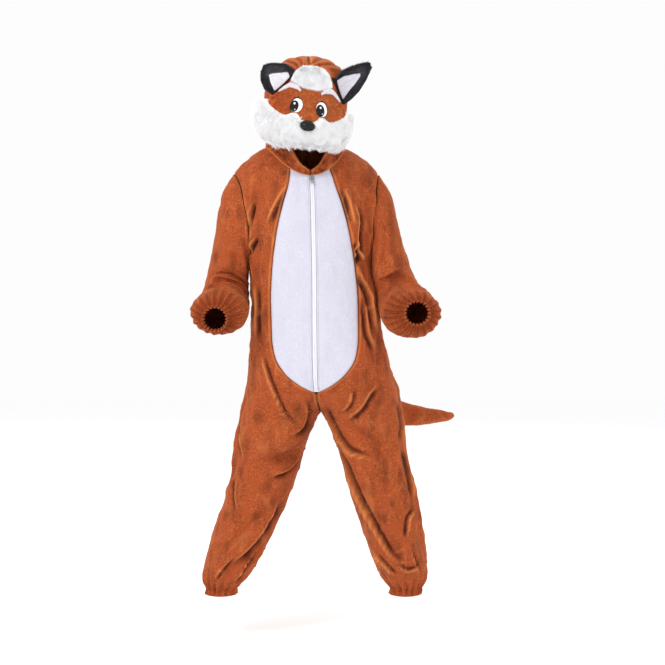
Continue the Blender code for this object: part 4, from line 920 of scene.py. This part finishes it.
# Cloth panels.
def creased(points, out, names, plain=1.0):
    # Adds the traced folds and fine crumples to points, and says where painted highlights go on rims and
    # ridges and where painted shade goes in troughs.
    height, rim, shade = (np.zeros(points.shape[:-1]) for _ in range(3))
    for name in names:
        facing = out[..., 1] if name == "back" else -out[..., 1]
        weight = eased((facing - 0.05) / 0.5)
        h, r, s = foldField(points[..., 0], points[..., 2], [
            {"path": path, "wide": 0.72 * wide, "high": high, "under": under, "side": side}
            for path, wide, high, under, side in foldLines[name]])
        height, rim, shade = height + h * weight, rim + r * weight, shade + s * weight
    fine = crumple(points * np.array([1.5, 1.5, 0.62]), 32, 11)
    height = height + plain * (2.7 * fine + 1.2 * noise(points, 15, 5))
    rim = np.clip(0.62 * rim + plain * 0.35 * np.clip(fine - 0.6, 0, 1), 0, 0.8)
    # Painted shade in patches of noise that do not follow the cloth's height.
    shadePatches = np.clip(-noise(points * np.array([1.4, 1.4, 0.7]), 24, 9), 0, 1)
    shade = np.clip(0.9 * shade + plain * 0.5 * shadePatches, 0, 0.92)
    return height, rim, shade


def trimSides(points):
    # Draws a grid's first and last column in by half a seam.
    aside = unit(np.gradient(points, axis=1))
    points[:, 0] += aside[:, 0] * seam / 2
    points[:, -1] -= aside[:, -1] * seam / 2


def clothPanel(name, spec, rows, low, high, surface, paint):
    # A wall between low and high on every row, trimmed by half a seam and puckered along its edges.
    share = np.linspace(0, 1, spec["columns"] + 1)
    z = np.broadcast_to(rows[:, None], (len(rows), len(share)))
    t = low(rows)[:, None] + (high(rows) - low(rows))[:, None] * share
    points, out = surface(t, z)
    height, rim, shade = creased(points, out, spec["folds"], spec.get("plain", 1.0))
    if "extra" in spec:
        more = spec["extra"](points)
        height = height + more[0]
        rim, shade = np.clip(rim + more[1], 0, 0.8), np.clip(shade + more[2], 0, 0.9)
    along = np.linalg.norm(np.diff(points, axis=1), axis=-1)
    fromStart = np.concatenate([np.zeros((len(rows), 1)), np.cumsum(along, 1)], 1)
    toEdge = np.minimum(fromStart, fromStart[:, -1:] - fromStart)
    pucker = np.exp(-((toEdge / 4.0) ** 2))
    height = height * np.clip(toEdge / 7, 0, 1) - 1.2 * pucker * (1 + 0.4 * noise(points, 9, 21))
    ends = np.clip(np.minimum(np.abs(rows - rows[-1]), np.abs(rows[0] - rows)) / 6, 0, 1)[:, None]
    points = points + out * (height * ends)[..., None]
    # Painted shade in the puckers along the seams, and a painted highlight on the cloth's roll just beside
    # them.
    shade = np.clip(shade + 0.5 * pucker, 0, 0.9)
    seamHighlight = 0.35 * np.exp(-(((toEdge - 5.5) / 2.2) ** 2)) * spec.get("seamHighlightScale", 1)
    rim = np.clip(rim * (1 - pucker) + seamHighlight, 0, 0.8)
    trimSides(points)
    for at, ahead in ((0, 1), (-1, -2)):
        points[at] += unit(points[ahead] - points[at]) * seam / 2
    piece = shell(name, points, points - out * spec["thick"], paint, marks={"rim": rim, "shade": shade})
    standsFor(spec["node"])
    return piece, points


def spaced(marks, step):
    # Heights from mark to mark, about a step apart.
    rows = [np.linspace(a, b, max(int(abs(a - b) / step), 1), endpoint=False)
            for a, b in zip(marks[:-1], marks[1:])]
    return np.concatenate([*rows, [marks[-1]]])


armRows = armMiddle + armHalf * np.cos(np.pi * np.arange(73) / 72)
suitRows = np.concatenate([
    spaced([neckZ, shoulderZ], 4.5)[:-1], armRows[:-1], spaced([armpitZ, tummyEndZ], 4.5)[:-1],
    spaced([tummyEndZ, -607.0, -985.0], 4.6)[:-1], spaced([-985.0, hemZ], 2.6),
])
frontSpec = {"columns": 58, "thick": velourThick, "plain": 1.0}
backSpec = {"columns": 48, "thick": velourThick, "folds": ["back"], "plain": 1.1}
tummySpec = {"columns": 34, "thick": fleeceThick, "folds": [], "plain": 0.3, "seamHighlightScale": 0.4}
suitPieces = {}


def fullShare(z):
    return np.ones(z.shape)


def makePanel(name, kind, word, spec, rows, low, high, surface, paint):
    nodeName = f"{kind}_{word}"
    suitPieces[nodeName] = clothPanel(f"{name}_{word}", {**spec, "node": nodeName}, rows, low, high,
                                      surface, paint)


for side, word in ((1, "left"), (-1, "right")):
    surface = lambda t, z, side=side: suit(t, z, side)
    frontFolds = {**frontSpec, "folds": [f"{word}Leg", f"{word}Chest"]}
    makePanel("velourFront", "front", word, frontFolds, suitRows,
              lambda z: np.where(z >= tummyEndZ, tummyEdge(z), 0.0), lambda z: 0.5 - armhole(z),
              surface, velourPaint)
    makePanel("velourBack", "back", word, backSpec, suitRows,
              lambda z: 0.5 + armhole(z), fullShare, surface, velourPaint)
    makePanel("fleeceTummy", "tummy", word, tummySpec, suitRows[suitRows >= tummyEndZ - 0.01],
              zipEdge, tummyEdge, surface, fleecePaint)
print("stage: suit")


sleeveColumns = 120


def makeSleeve(side, word):
    # One tube from the armhole's edge to the wrist, with its seam under the arm.
    nodeName = f"sleeve_{word}"
    angle = np.pi + 2 * np.pi * np.arange(sleeveColumns + 1) / sleeveColumns
    s = np.concatenate([np.linspace(0, 0.86, 100, endpoint=False), np.linspace(0.86, 1, 46)])
    s2, a2 = np.meshgrid(s, angle, indexing="ij")
    points = sleeve(s2, a2, word)
    ahead, behind = sleeve(np.clip(s2 + 0.004, 0, 1), a2, word), sleeve(np.clip(s2 - 0.004, 0, 1), a2, word)
    roundIt = sleeve(s2, a2 + 0.02, word) - sleeve(s2, a2 - 0.02, word)
    out = unit(np.cross(roundIt, ahead - behind)) * -side
    out[0] = armholeRing(angle, side)[1]
    height, rim, shade = creased(points, out, [f"{word}Sleeve"], 1.0)
    quiet = np.clip(s2 / 0.05, 0, 1) * np.clip((0.955 - s2) / 0.05, 0, 1)
    points = points + out * (sleeveFolds(s2, a2, word) + height * quiet)[..., None]
    points[0] += out[0] * (seam + velourThick)
    trimSides(points)
    within = points - out * velourThick
    shape = points[1:].shape
    points[1:] = clearOfSuit(points[1:].reshape(-1, 3), side, velourThick + armClear).reshape(shape)
    within[1:] = clearOfSuit(within[1:].reshape(-1, 3), side, armClear).reshape(shape)
    # Painted shade in the troughs of the wrist gathers and along the armhole's seam, and a painted highlight
    # on the ridge just below that seam.
    gatherShade = np.clip((s2 - 0.87) / 0.08, 0, 1) * np.clip(-np.cos(wristGatherCount * a2), 0, 1)
    marks = {"rim": np.clip(rim * quiet + 0.4 * np.exp(-(((s2 - 0.035) / 0.014) ** 2)), 0, 0.8),
             "shade": np.clip(shade * quiet + 0.6 * gatherShade + 0.3 * np.exp(-((s2 / 0.012) ** 2)), 0, 0.9)}
    piece = shell(f"velourSleeve_{word}", points, within, velourPaint, marks=marks)
    standsFor(nodeName)
    suitPieces[nodeName] = (piece, points)


makeSleeve(1, "left")
makeSleeve(-1, "right")
print("stage: sleeves")


def faceEdge(z):
    # t of the face opening's edge at height z.
    share = column(hoodShape, "open", z) / column(hoodShape, "wide", z)
    return 0.5 * (1 - np.arccos(np.clip(share, 0, 1)) / (np.pi / 2))


crownZ, crownHigh = 220.0, 25.5
hoodRows = np.concatenate([spaced([neckZ, 60.0, 92.0, 160.0, crownZ], 3.0)[:-1],
                           crownZ + crownHigh * np.sin(np.pi / 2 * np.linspace(0, 1, 16))])


def lowCrown(points, out):
    # The crown lies a little flatter than its own arch, as thin cloth does.
    over = np.maximum(points[..., 2] - 196, 0)
    lowered = points.copy()
    lowered[..., 2] = points[..., 2] - 0.29 * over * eased(over / 20)
    return lowered, out


gatherMiddle = (-24.0, -120.0, 196.0)


def crownGathers(points):
    # Gathers that fan out over the crown from the tuft's upper edge, and crumples in the collar, with a
    # painted highlight on their ridges and painted shade in their troughs.
    x, y, z = (points[..., k] - gatherMiddle[k] for k in range(3))
    way = np.arctan2(x, np.abs(z) + 0.6 * (y + 20) + 12)
    far = np.sqrt(x * x + y * y + z * z)
    on = eased((points[..., 2] - 150) / 40) * eased((150 - far) / 60)
    wave = np.cos(way * 19 + 3.4 * noise(points, 26, 91))
    low = eased((74 - points[..., 2]) / 20)
    knots = crumple(points * np.array([1, 1, 1.5]), 17, 93)
    height = on * 1.7 * wave + low * 6.0 * (knots - 0.5)
    return height, on * 0.30 * np.clip(wave, 0, 1) + low * 0.7 * np.clip(knots - 0.6, 0, 1), (
        on * 0.45 * np.clip(-wave, 0, 1) + low * 1.2 * np.clip(0.42 - knots, 0, 1))


hoodSpec = {"columns": 70, "thick": velourThick, "folds": [], "plain": 0.35, "extra": crownGathers,
            "seamHighlightScale": 1.2}
for side, word in ((1, "left"), (-1, "right")):
    makePanel("velourHood", "hood", word, hoodSpec, hoodRows, faceEdge, fullShare,
              lambda t, z, side=side: lowCrown(*hood(t, z, side)), velourPaint)
print("stage: hood")


def cushion(turns, low, high, shares, edges):
    # Outside and inside grids of a stuffed piece on the hood, its edges rounded off by edges, in mm.
    bottom, top = low(turns) + seam / 2, high(turns) - seam / 2
    h = bottom + (top - bottom) * shares[:, None]
    turn = np.broadcast_to(turns, h.shape)
    seat, reach = foxSeat(turn, h), foxReach(turn, h)
    thick = np.maximum(reach - seat, thinEdge)
    ends = np.minimum(turn - turns[0], turns[-1] - turn) * np.radians(reach)
    for far, run in ((ends, edges[0]), (h - bottom, edges[1]), (top - h, edges[2])):
        if run:
            left = 1 - np.clip(far / run, 0, 1)
            thick = thinEdge + (thick - thinEdge) * np.sqrt(1 - left**2)
    return foxRay(turn, h, seat + thick), foxRay(turn, h, seat), turn, h


def gridWay(grid):
    # Outward unit normals of a grid, pointing away from the head's middle.
    way = unit(np.cross(np.gradient(grid, axis=1), np.gradient(grid, axis=0)))
    middle = grid.reshape(-1, 3).mean(0) + np.array([0, 60.0, 0])
    sign = np.sign(((grid - middle) * way).sum(-1, keepdims=True))
    return way * np.where(sign == 0, 1, sign)


def furStrands(name, spec, grid, way, paint, weight=None, tint=None):
    # Tapered strands rooted on a grid: each is a closed three-sided spike that leans with its neighbours.
    rng = np.random.default_rng(spec["seed"])
    rows, columns = grid.shape[:2]
    count = spec["count"]
    a, b, c = grid[:-1, :-1], grid[:-1, 1:], grid[1:, :-1]
    area = np.linalg.norm(np.cross(b - a, c - a), axis=-1).ravel()
    if weight is not None:
        area = area * weight[:-1, :-1].ravel()
    cell = rng.choice(len(area), count, p=area / area.sum())
    r, k = np.divmod(cell, columns - 1)
    u, v = rng.random((2, count, 1))
    below, above = (grid[r + j, k] * (1 - u) + grid[r + j, k + 1] * u for j in (0, 1))
    root = below * (1 - v) + above * v
    out = unit(way[r, k])
    clumps = np.stack([noise(root, spec["clump"], spec["seed"] + j) for j in (1, 2, 3)], -1)
    comb = np.array(spec["comb"], float) + 0.9 * clumps
    comb = comb + 0.35 * rng.normal(size=(count, 3))
    comb = comb - out * (comb * out).sum(-1, keepdims=True)
    lean = unit(out * spec["rise"] + unit(comb) * spec["lean"])
    length = spec["length"] * (0.65 + 0.7 * rng.random((count, 1)))
    beside = unit(np.cross(lean, out + 0.01))
    over = np.cross(lean, beside)
    half = spec["wide"] / 2
    root = root - out * 0.6
    ring = [root + beside * half * math.cos(q) + over * half * math.sin(q) for q in (0, 2.1, 4.2)]
    points = np.stack([*ring, root + lean * length], 1).reshape(-1, 3)
    base = np.arange(count)[:, None] * 4
    tris = np.concatenate([base + np.array(f) for f in ((0, 2, 1), (0, 1, 3), (1, 2, 3), (2, 0, 3))])
    tone = np.repeat(rng.random(count), 4)
    # A random darker tone on each strand, plus tint: painted shade laid on from the grid beneath.
    shade = (1 - tone) * spec["dim"] + (0 if tint is None else np.repeat(tint[r, k], 4))
    marks = {"rim": np.clip(tone * spec["light"], 0, 1), "shade": np.clip(shade, 0, 1)}
    piece = meshPiece(name, points, np.zeros((0, 4), int), paint, tris=tris, smooth=False, marks=marks)
    return piece


def toCurve(table):
    return lambda turns: column(table, "h", turns)


# The stuffed head: white cheeks and chin, the orange mask and the tuft between the ears.
ruffSpec = {"rows": 60, "columns": 190, "lump": 2.4, "fur": {
    "seed": 31, "count": 25000, "length": 10.5, "wide": 1.4, "rise": 0.6, "lean": 1.0, "comb": (0, 0, -1.0),
    "clump": 12, "light": 1.0, "dim": 0.05, "slot": "ruff"}}
maskSpec = {"rows": 60, "columns": 110, "lump": 1.3, "fur": {
    "seed": 32, "count": 13000, "length": 4.6, "wide": 1.25, "rise": 0.8, "lean": 1.0, "comb": (0, 0, -0.7),
    "clump": 8, "light": 0.7, "dim": 0.4, "slot": "mask"}}
tuftSpec = {"rows": 40, "columns": 60, "lump": 1.2, "fur": {
    "seed": 33, "count": 7000, "length": 9.0, "wide": 1.35, "rise": 0.6, "lean": 1.0, "comb": (0, 0, -1.0),
    "clump": 12, "light": 1.0, "dim": 0.04, "slot": "tuft"}}


def stuffed(name, nodeName, spec, turns, low, high, edges, paint, shadeAt=None):
    outer, inner, turn, h = cushion(turns, low, high, np.linspace(0, 1, spec["rows"]), edges)
    way = gridWay(outer)
    inside = np.clip(np.minimum(h - h[:1], h[-1:] - h) / 8, 0, 1)
    lumps = spec["lump"] * (noise(outer, 22, 41) + 0.6 * noise(outer, 9, 43))
    outer = outer + way * (lumps * inside)[..., None]
    marks = {"rim": 0.25 * np.clip(noise(outer, 6, 44), 0, 1),
             "shade": 0 * h if shadeAt is None else shadeAt(turn, h)}
    piece = shell(name, outer, inner, paint, marks=marks)
    standsFor(nodeName)
    return outer, way, turn, h


def smileShade(turn, h):
    # Painted shade: a faint smile, an arc to each side below the nose, and a little under the muzzle.
    line = np.exp(-(((h + 60 - 0.022 * turn * turn) / 2.2) ** 2)) * eased(1.3 - np.abs(turn) / 26)
    line = line * eased((np.abs(turn) - 5) / 8)
    under = eased((-60 - h) / 30) * 0.28
    return np.clip(0.8 * line + under, 0, 1)


ruffTurns = np.linspace(-94, 94, ruffSpec["columns"])


def raggedLow(turns):
    # The fur's lower edge: locks of uneven length.
    locks = noise(np.stack([turns * 2.1, 0 * turns, 0 * turns], -1), 9, 38)
    return column(ruffLow, "h", turns) - 1.5 + 3.5 * locks


outer, way, turn, h = stuffed("furRuff", "ruff", ruffSpec, ruffTurns, raggedLow, toCurve(ruffHigh),
                              (40, 26, 0), furPaint, smileShade)
# The ruff's strands carry the smile's painted shade too.
furStrands("furRuffStrands", ruffSpec["fur"], outer, way, furPaint, tint=0.6 * smileShade(turn, h))
edgeSpec = {**ruffSpec["fur"], "seed": 36, "count": 6500, "length": 17.0, "wide": 1.6, "rise": 0.25,
            "clump": 9}
furStrands("furRuffEdge", edgeSpec, outer[1:9], way[1:9], furPaint)
maskTurns = np.linspace(-56, 56, maskSpec["columns"])
outer, way, turn, h = stuffed("plushMask", "mask", maskSpec, maskTurns,
                              lambda turns: column(maskLow, "h", turns) + maskLift, toCurve(maskHigh),
                              (30, 0, 0), plushPaint)
furStrands("plushMaskStrands", maskSpec["fur"], outer, way, plushPaint)
tuftTurns = np.linspace(-27, 27, tuftSpec["columns"])
outer, way, turn, h = stuffed("furTuft", "tuft", tuftSpec, tuftTurns, toCurve(maskHigh), toCurve(tuftHigh),
                              (12, 0, 22), furPaint)
furStrands("furTuftStrands", tuftSpec["fur"], outer, way, furPaint)
print("stage: fox head")


# Face pieces, sewn on the mask: turn in degrees, height, half turn, half height, thickness and bulge.
eyeSpec = {"right": (-12.5, 9, 6.0, 17, 1.2, 0), "left": (12.5, 9, 6.0, 17, 1.2, 0)}
pupilSpec = {"right": (-14.3, 5, 4.2, 12.8, 1.0, 0.8), "left": (10.6, 5, 4.2, 12.8, 1.0, 0.8)}
glintSpec = {"right": [(-14.4, 11.0, 0.95, 2.4), (-12.6, -1.5, 0.4, 1.2)],
             "left": [(10.6, 11.0, 0.95, 2.4), (12.2, -1.5, 0.4, 1.2)]}
noseSpec = (0.2, -32, 6.2, 12.5, 5.0, 13.0)
browSpec = {"turn": [11.5, 17, 24, 31, 37], "h": [41, 48, 49, 41, 30], "half": [2.5, 5.0, 5.5, 4.5, 2.0]}
browPile = {"count": 1500, "length": 2.4, "wide": 0.5, "rise": 0.9, "lean": 0.8, "comb": (0, 0, -0.5),
            "clump": 6, "light": 0.6, "dim": 0.1}


def disc(name, spec, lift, paint, nodeName=None, outline=None):
    # A rounded disc on the face, from rings round its middle.
    turn, h, halfTurn, halfH, thick, bulge = spec
    angle = np.linspace(0, 2 * np.pi, 72, endpoint=False)
    share = np.sin(np.pi / 2 * np.linspace(0.02, 1, 22))[:, None]
    turns, heights = turn + halfTurn * share * np.cos(angle), h + halfH * share * np.sin(angle)
    rise = thick * np.clip((1 - share) / 0.06, 0.35, 1) + bulge * np.sqrt(np.clip(1 - share**2, 0, 1))
    marks = {"outline": 0 * turns if outline is None else outline(share + 0 * turns, angle + 0 * turns)}
    outer, inner = facePoint(turns, heights, lift + rise), facePoint(turns, heights, lift + 0 * rise)
    piece = shell(name, outer, inner, paint, closed=True, marks=marks, sharp=70)
    if nodeName:
        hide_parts(nodeName)
    return piece


def eyeOutline(side):
    # A black line round the top and the outer side of an eye, thickest above.
    def marked(share, angle):
        top = np.clip(np.sin(angle) * 0.75 + side * np.cos(angle) * 0.5 + 0.30, 0, 1)
        return np.where(share > 0.985 - 0.16 * top, 1.0, 0.0) * (top > 0.02)
    return marked


for word, side in (("left", 1), ("right", -1)):
    disc(f"feltEye_{word}", eyeSpec[word], faceLift + 2.2, felt, f"eye_{word}", outline=eyeOutline(side))
    disc(f"glossPupil_{word}", pupilSpec[word], faceLift + 3.7, gloss, f"pupil_{word}")
    for number, (turn, h, halfTurn, halfH) in enumerate(glintSpec[word]):
        disc(f"glint_{word}_{number}", (turn, h, halfTurn, halfH, 0.3, 0.1), faceLift + 5.3, felt)
    turns = np.linspace(browSpec["turn"][0], browSpec["turn"][-1], 60)
    middle, half = column(browSpec, "h", turns), column(browSpec, "half", turns)
    across = np.linspace(-1, 1, 15)[:, None]
    h, turn = middle + half * across, side * turns + 0 * across
    puff = 1.2 + 2.2 * np.sqrt(np.clip(1 - across**2, 0, 1)) + 0 * h
    outer = facePoint(turn, h, faceLift + puff)
    piece = shell(f"feltBrow_{word}", outer, facePoint(turn, h, faceLift + 0 * h), fleecePaint,
                  marks={"rim": 0.3 + 0 * h})
    standsFor(f"brow_{word}")
    pile = {**browPile, "seed": 50 + side, "slot": f"brow_{word}"}
    furStrands(f"browPile_{word}", pile, outer, gridWay(outer), furPaint)
disc("glossNose", noseSpec, faceLift + 1.0, gloss, "nose")
print("stage: face")


# Ears: a cupped, stuffed leaf each, with a white lining and a short pile round the edge.
earPile = {"seed": 60, "count": 5000, "length": 4.5, "wide": 0.8, "rise": 0.8, "lean": 0.9,
           "comb": (0, 0, 0.9), "clump": 7, "light": 0.5, "dim": 0.5}
liningPile = {"seed": 70, "count": 2600, "length": 3.2, "wide": 0.62, "rise": 0.7, "lean": 1.0,
              "comb": (0, 0, 1), "clump": 8, "light": 0.6, "dim": 0.1}


def cupped(row, share):
    return earCup * 4 * share * (1 - share) * np.clip(1.25 - row / 4, 0, 1)


def onHeadGrid(local, seated):
    flat = local.reshape(-1, 3)
    return onHead(flat, seated).reshape(local.shape)


def makeEar(word):
    share, rows = np.linspace(0, 1, 44), np.linspace(0, 4, 60)
    way = earBackWay(word)
    row2, share2 = np.meshgrid(rows, share, indexing="ij")
    flat = earFront(word, row2, share2)
    front = flat + way * cupped(row2, share2)[..., None]
    back = flat + way * (earThick * (1 - 0.55 * (2 * share2 - 1) ** 2))[..., None]
    outer, inner = onHeadGrid(back, False), onHeadGrid(front, False)
    outer[0], inner[0] = onHeadGrid(back[0], True), onHeadGrid(front[0], True)
    ear = shell(f"plushEar_{word}", outer, inner, charcoalPaint,
                marks={"rim": 0.2 * np.clip(noise(outer, 8, 3), 0, 1), "shade": 0 * row2})
    standsFor(f"ear_{word}")
    pile = {**earPile, "slot": f"ear_{word}"}
    backWay = unit(np.cross(np.gradient(outer, axis=1), np.gradient(outer, axis=0)))
    backWay *= np.sign((backWay * unit(outer - inner)).sum(-1, keepdims=True))
    furStrands(f"earPileBack_{word}", pile, outer, backWay, charcoalPaint)
    edge = np.clip((np.abs(2 * share2 - 1) - 0.55) / 0.2, 0.0, 1) + np.clip((row2 - 3.2) / 0.4, 0, 1)
    frontPile = {**pile, "seed": 61, "count": 3500}
    furStrands(f"earPileFront_{word}", frontPile, inner, -backWay, charcoalPaint, weight=edge + 1e-6)
    table = liningShape[word]
    rows = np.linspace(table["row"][0], table["row"][-1], 40)
    across = np.linspace(0, 1, 40)
    start, end = (column(table, k, rows)[:, None] for k in ("start", "end"))
    row2, place = rows[:, None] + 0 * across, start + (end - start) * across
    crease = 1.6 * np.exp(-(((across - 0.55) / 0.07) ** 2))
    front = earFront(word, row2, place) + way * (cupped(row2, place) - liningLift)[..., None]
    inner = foxPlace(front)
    outer = foxPlace(front - way * (liningThick - crease * 0.6 + 0 * place)[..., None])
    # The lining's shade mark is painted shade along its crease.
    lining = shell(f"furLining_{word}", outer, inner, fleecePaint,
                   marks={"rim": 0.2 + 0 * place,
                          "shade": 0.5 * np.exp(-(((across - 0.55) / 0.05) ** 2)) + 0 * place})
    standsFor(f"ear_lining_{word}")
    pile = {**liningPile, "slot": f"ear_lining_{word}"}
    furStrands(f"liningPile_{word}", pile, outer, unit(outer - inner), furPaint)


makeEar("left")
makeEar("right")
print("stage: ears")


# The stuffed tail: rings square to its middle line, eased out of the suit's back.
def tailRings(count, steps):
    table = np.array([tailShape[k] for k in ("x", "y", "z", "half")], float).T
    places = np.linspace(0, len(table) - 1, steps)
    curve = [curveThrough(np.arange(len(table)), table[:, k], places) for k in range(4)]
    middle = np.stack(curve, -1)
    along = unit(np.gradient(middle[:, :3], axis=0))
    angle = 2 * np.pi * np.arange(count) / count
    x0, z0, half = table[0, 0], table[0, 2], table[0, 3]
    rootX, rootZ = x0 + half * np.cos(angle), z0 + half * np.sin(angle)
    root = np.stack([rootX, backDepth(rootX, rootZ) + tailLift, rootZ], -1)
    rings = []
    for share in (0.04, 0.35, 0.7):
        x, z = x0 + (rootX - x0) * share, z0 + (rootZ - z0) * share
        rings.append(np.stack([x, backDepth(x, z) + tailLift, z], -1))
    rings.append(root)
    for k in range(1, steps):
        beside = unit(np.cross(np.array([0, 0, 1.0]), along[k]))
        over = np.cross(along[k], beside)
        spoke = -beside * np.cos(angle)[:, None] + over * np.sin(angle)[:, None]
        ring = middle[k, :3] + middle[k, 3] * spoke
        ease = min(places[k] / 1.5, 1)
        ring = ring * ease + (root + np.array([0, 1.0, 0]) * 14 * places[k]) * (1 - ease)
        if places[k] < 3:
            ring[:, 1] = np.maximum(ring[:, 1], backDepth(ring[:, 0], ring[:, 2]) + 2 * tailLift)
        rings.append(ring)
    return np.array(rings)


tailSides = 72
rings = tailRings(tailSides, 90)
middle = rings.mean(1, keepdims=True)
place = np.arange(len(rings))
swell = np.clip(place / 12, 0, 1) * np.clip((len(rings) - 1 - place) / 6, 0, 1)
creases = 1.5 * noise(rings, 24, 81) + 1.2 * (crumple(rings, 30, 83) - 0.4)
rings = rings + unit(rings - middle) * (creases * swell[:, None])[..., None]
tips = np.array([rings[0].mean(0), rings[-1].mean(0)])
# Painted shade along the tail's seam, and a painted highlight on its creases.
seamShade = 0.5 * np.exp(-((((np.arange(tailSides) * 360 / tailSides - 180) / 5.0)) ** 2))
tailMarks = {"rim": np.clip(0.25 * crumple(rings, 30, 83), 0, 1), "shade": seamShade + 0 * rings[..., 0]}
tail = meshPiece("velourTail", np.concatenate([rings.reshape(-1, 3), tips]),
                 gridFaces(len(rings), tailSides, True), velourPaint, tris=endCaps(len(rings), tailSides),
                 marks={key: np.append(values.ravel(), [0, 0]) for key, values in tailMarks.items()})
standsFor("tail")
print("stage: tail")


# The zip: its tape and coil between the tummy panels, and the neckline's piping.
zipSpec = {"pitch": 1.55, "toothWide": 2.6, "toothHigh": 0.85, "toothOut": 0.9, "topZ": 15.0}


def boxes(name, middles, across, up, out, size, paint):
    # Small rounded blocks, one at every middle: eight corners each, chamfered on the outer face.
    count = len(middles)
    corners = []
    for w, k in ((-1, 1.0), (1, 0.62)):
        for u, v in ((-1, -1), (1, -1), (1, 1), (-1, 1)):
            onFace = across * (u * size[0] * k / 2) + up * (v * size[1] * k / 2)
            corners.append(middles + onFace + out * (w * size[2] / 2))
    points = np.stack(corners, 1).reshape(-1, 3)
    base = np.arange(count)[:, None] * 8
    quads = np.concatenate([base + np.array(f) for f in (
        (3, 2, 1, 0), (4, 5, 6, 7), (0, 1, 5, 4), (1, 2, 6, 5), (2, 3, 7, 6), (3, 0, 4, 7))])
    piece = meshPiece(name, points, quads, paint, smooth=False)
    return piece


teethZ = np.arange(zipSpec["topZ"], tummyEndZ + 3, -zipSpec["pitch"])
middles, across, up, out = zipFrame(teethZ)
shift = np.where(np.arange(len(teethZ)) % 2, 0.7, -0.7)[:, None]
boxes("zipTeeth", middles + out * (0.35 - zipDrop) + across * shift, across, up, out,
      (zipSpec["toothWide"], zipSpec["toothHigh"], zipSpec["toothOut"]), tape)


def tube(name, path, radius, paint, count=10):
    # A round cord along a path of points, closed at both ends.
    along = unit(np.gradient(path, axis=0))
    beside = unit(np.cross(along, np.array([0.0, 1.0, 0.05])))
    over = np.cross(along, beside)
    angle = 2 * np.pi * np.arange(count) / count
    spokes = beside[:, None] * np.cos(angle)[:, None] + over[:, None] * np.sin(angle)[:, None]
    rings = path[:, None] + radius * spokes
    points = np.concatenate([rings.reshape(-1, 3), path[:1], path[-1:]])
    # Every cord gets a painted highlight of half strength all along it, as on the neckline's piping.
    piece = meshPiece(name, points, gridFaces(len(path), count, True), paint, tris=endCaps(len(path), count),
                      marks={"rim": np.full(len(points), 0.5), "shade": np.zeros(len(points))})
    return piece


for side, word in ((1, "left"), (-1, "right")):
    t = np.linspace(0.02, 0.98, 120)
    points, out = suit(t, np.full(120, neckZ - 0.2), side)
    tube(f"neckPiping_{word}", points + out * 0.9, 1.3, velourPaint)
    line = np.linspace(neckZ - 3, tummyEndZ + 5, 380)
    points, out = suit(zipEdge(line) + 0.004, line, side)
    tube(f"zipWelt_{word}", points + out * 0.2, 0.9, fleecePaint, 8)


# Binding sewn over the seam allowances inside, so that no light comes through the seams.
def binding(name, first, second, level):
    points, out = first(level)
    other, away = second(level)
    way = unit(out + away)
    tube(name, (points + other) / 2 - way * (velourThick + 1.1), 1.5, velourPaint, 8)


def along(surface, t, side):
    return lambda level: surface(np.full(level.shape, t), level, side)


def crownAlong(side):
    return lambda level: lowCrown(*hood(np.ones(level.shape), level, side))


crotchZ = -585
binding("backBinding", along(suit, 1.0, 1), along(suit, 1.0, -1), np.linspace(neckZ - 4, crotchZ, 120))
binding("crownBinding", crownAlong(1), crownAlong(-1), np.linspace(238.0, neckZ + 4, 80))
binding("frontBinding", along(suit, 0.0, 1), along(suit, 0.0, -1), np.linspace(tummyEndZ - 8, crotchZ, 12))
for side, word in ((1, "left"), (-1, "right")):
    innerLeg, flank = np.linspace(-640, hemZ + 6, 90), np.linspace(armpitZ - 4, hemZ + 6, 150)
    binding(f"legBinding_{word}", along(suit, 0.0, side), along(suit, 1.0, side), innerLeg)
    binding(f"sideBinding_{word}", along(suit, 0.499, side), along(suit, 0.501, side), flank)
print("stage: binding")

# The zip's metal parts and tape keep the solids' own forms.
for name in ("zip_slider", "zip_bail", "zip_pull"):
    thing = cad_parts[name]
    for slot in thing.material_slots:
        slot.material = zipMetal
    if not thing.material_slots:
        thing.data.materials.append(zipMetal)
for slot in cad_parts["zip_tape"].material_slots:
    slot.material = tape
print("stage: zip")

# Each cloth piece's name is split into its kind and side; nothing is done with them.
for name, (piece, points) in suitPieces.items():
    kind, word = name.split("_")

print("stage: done")
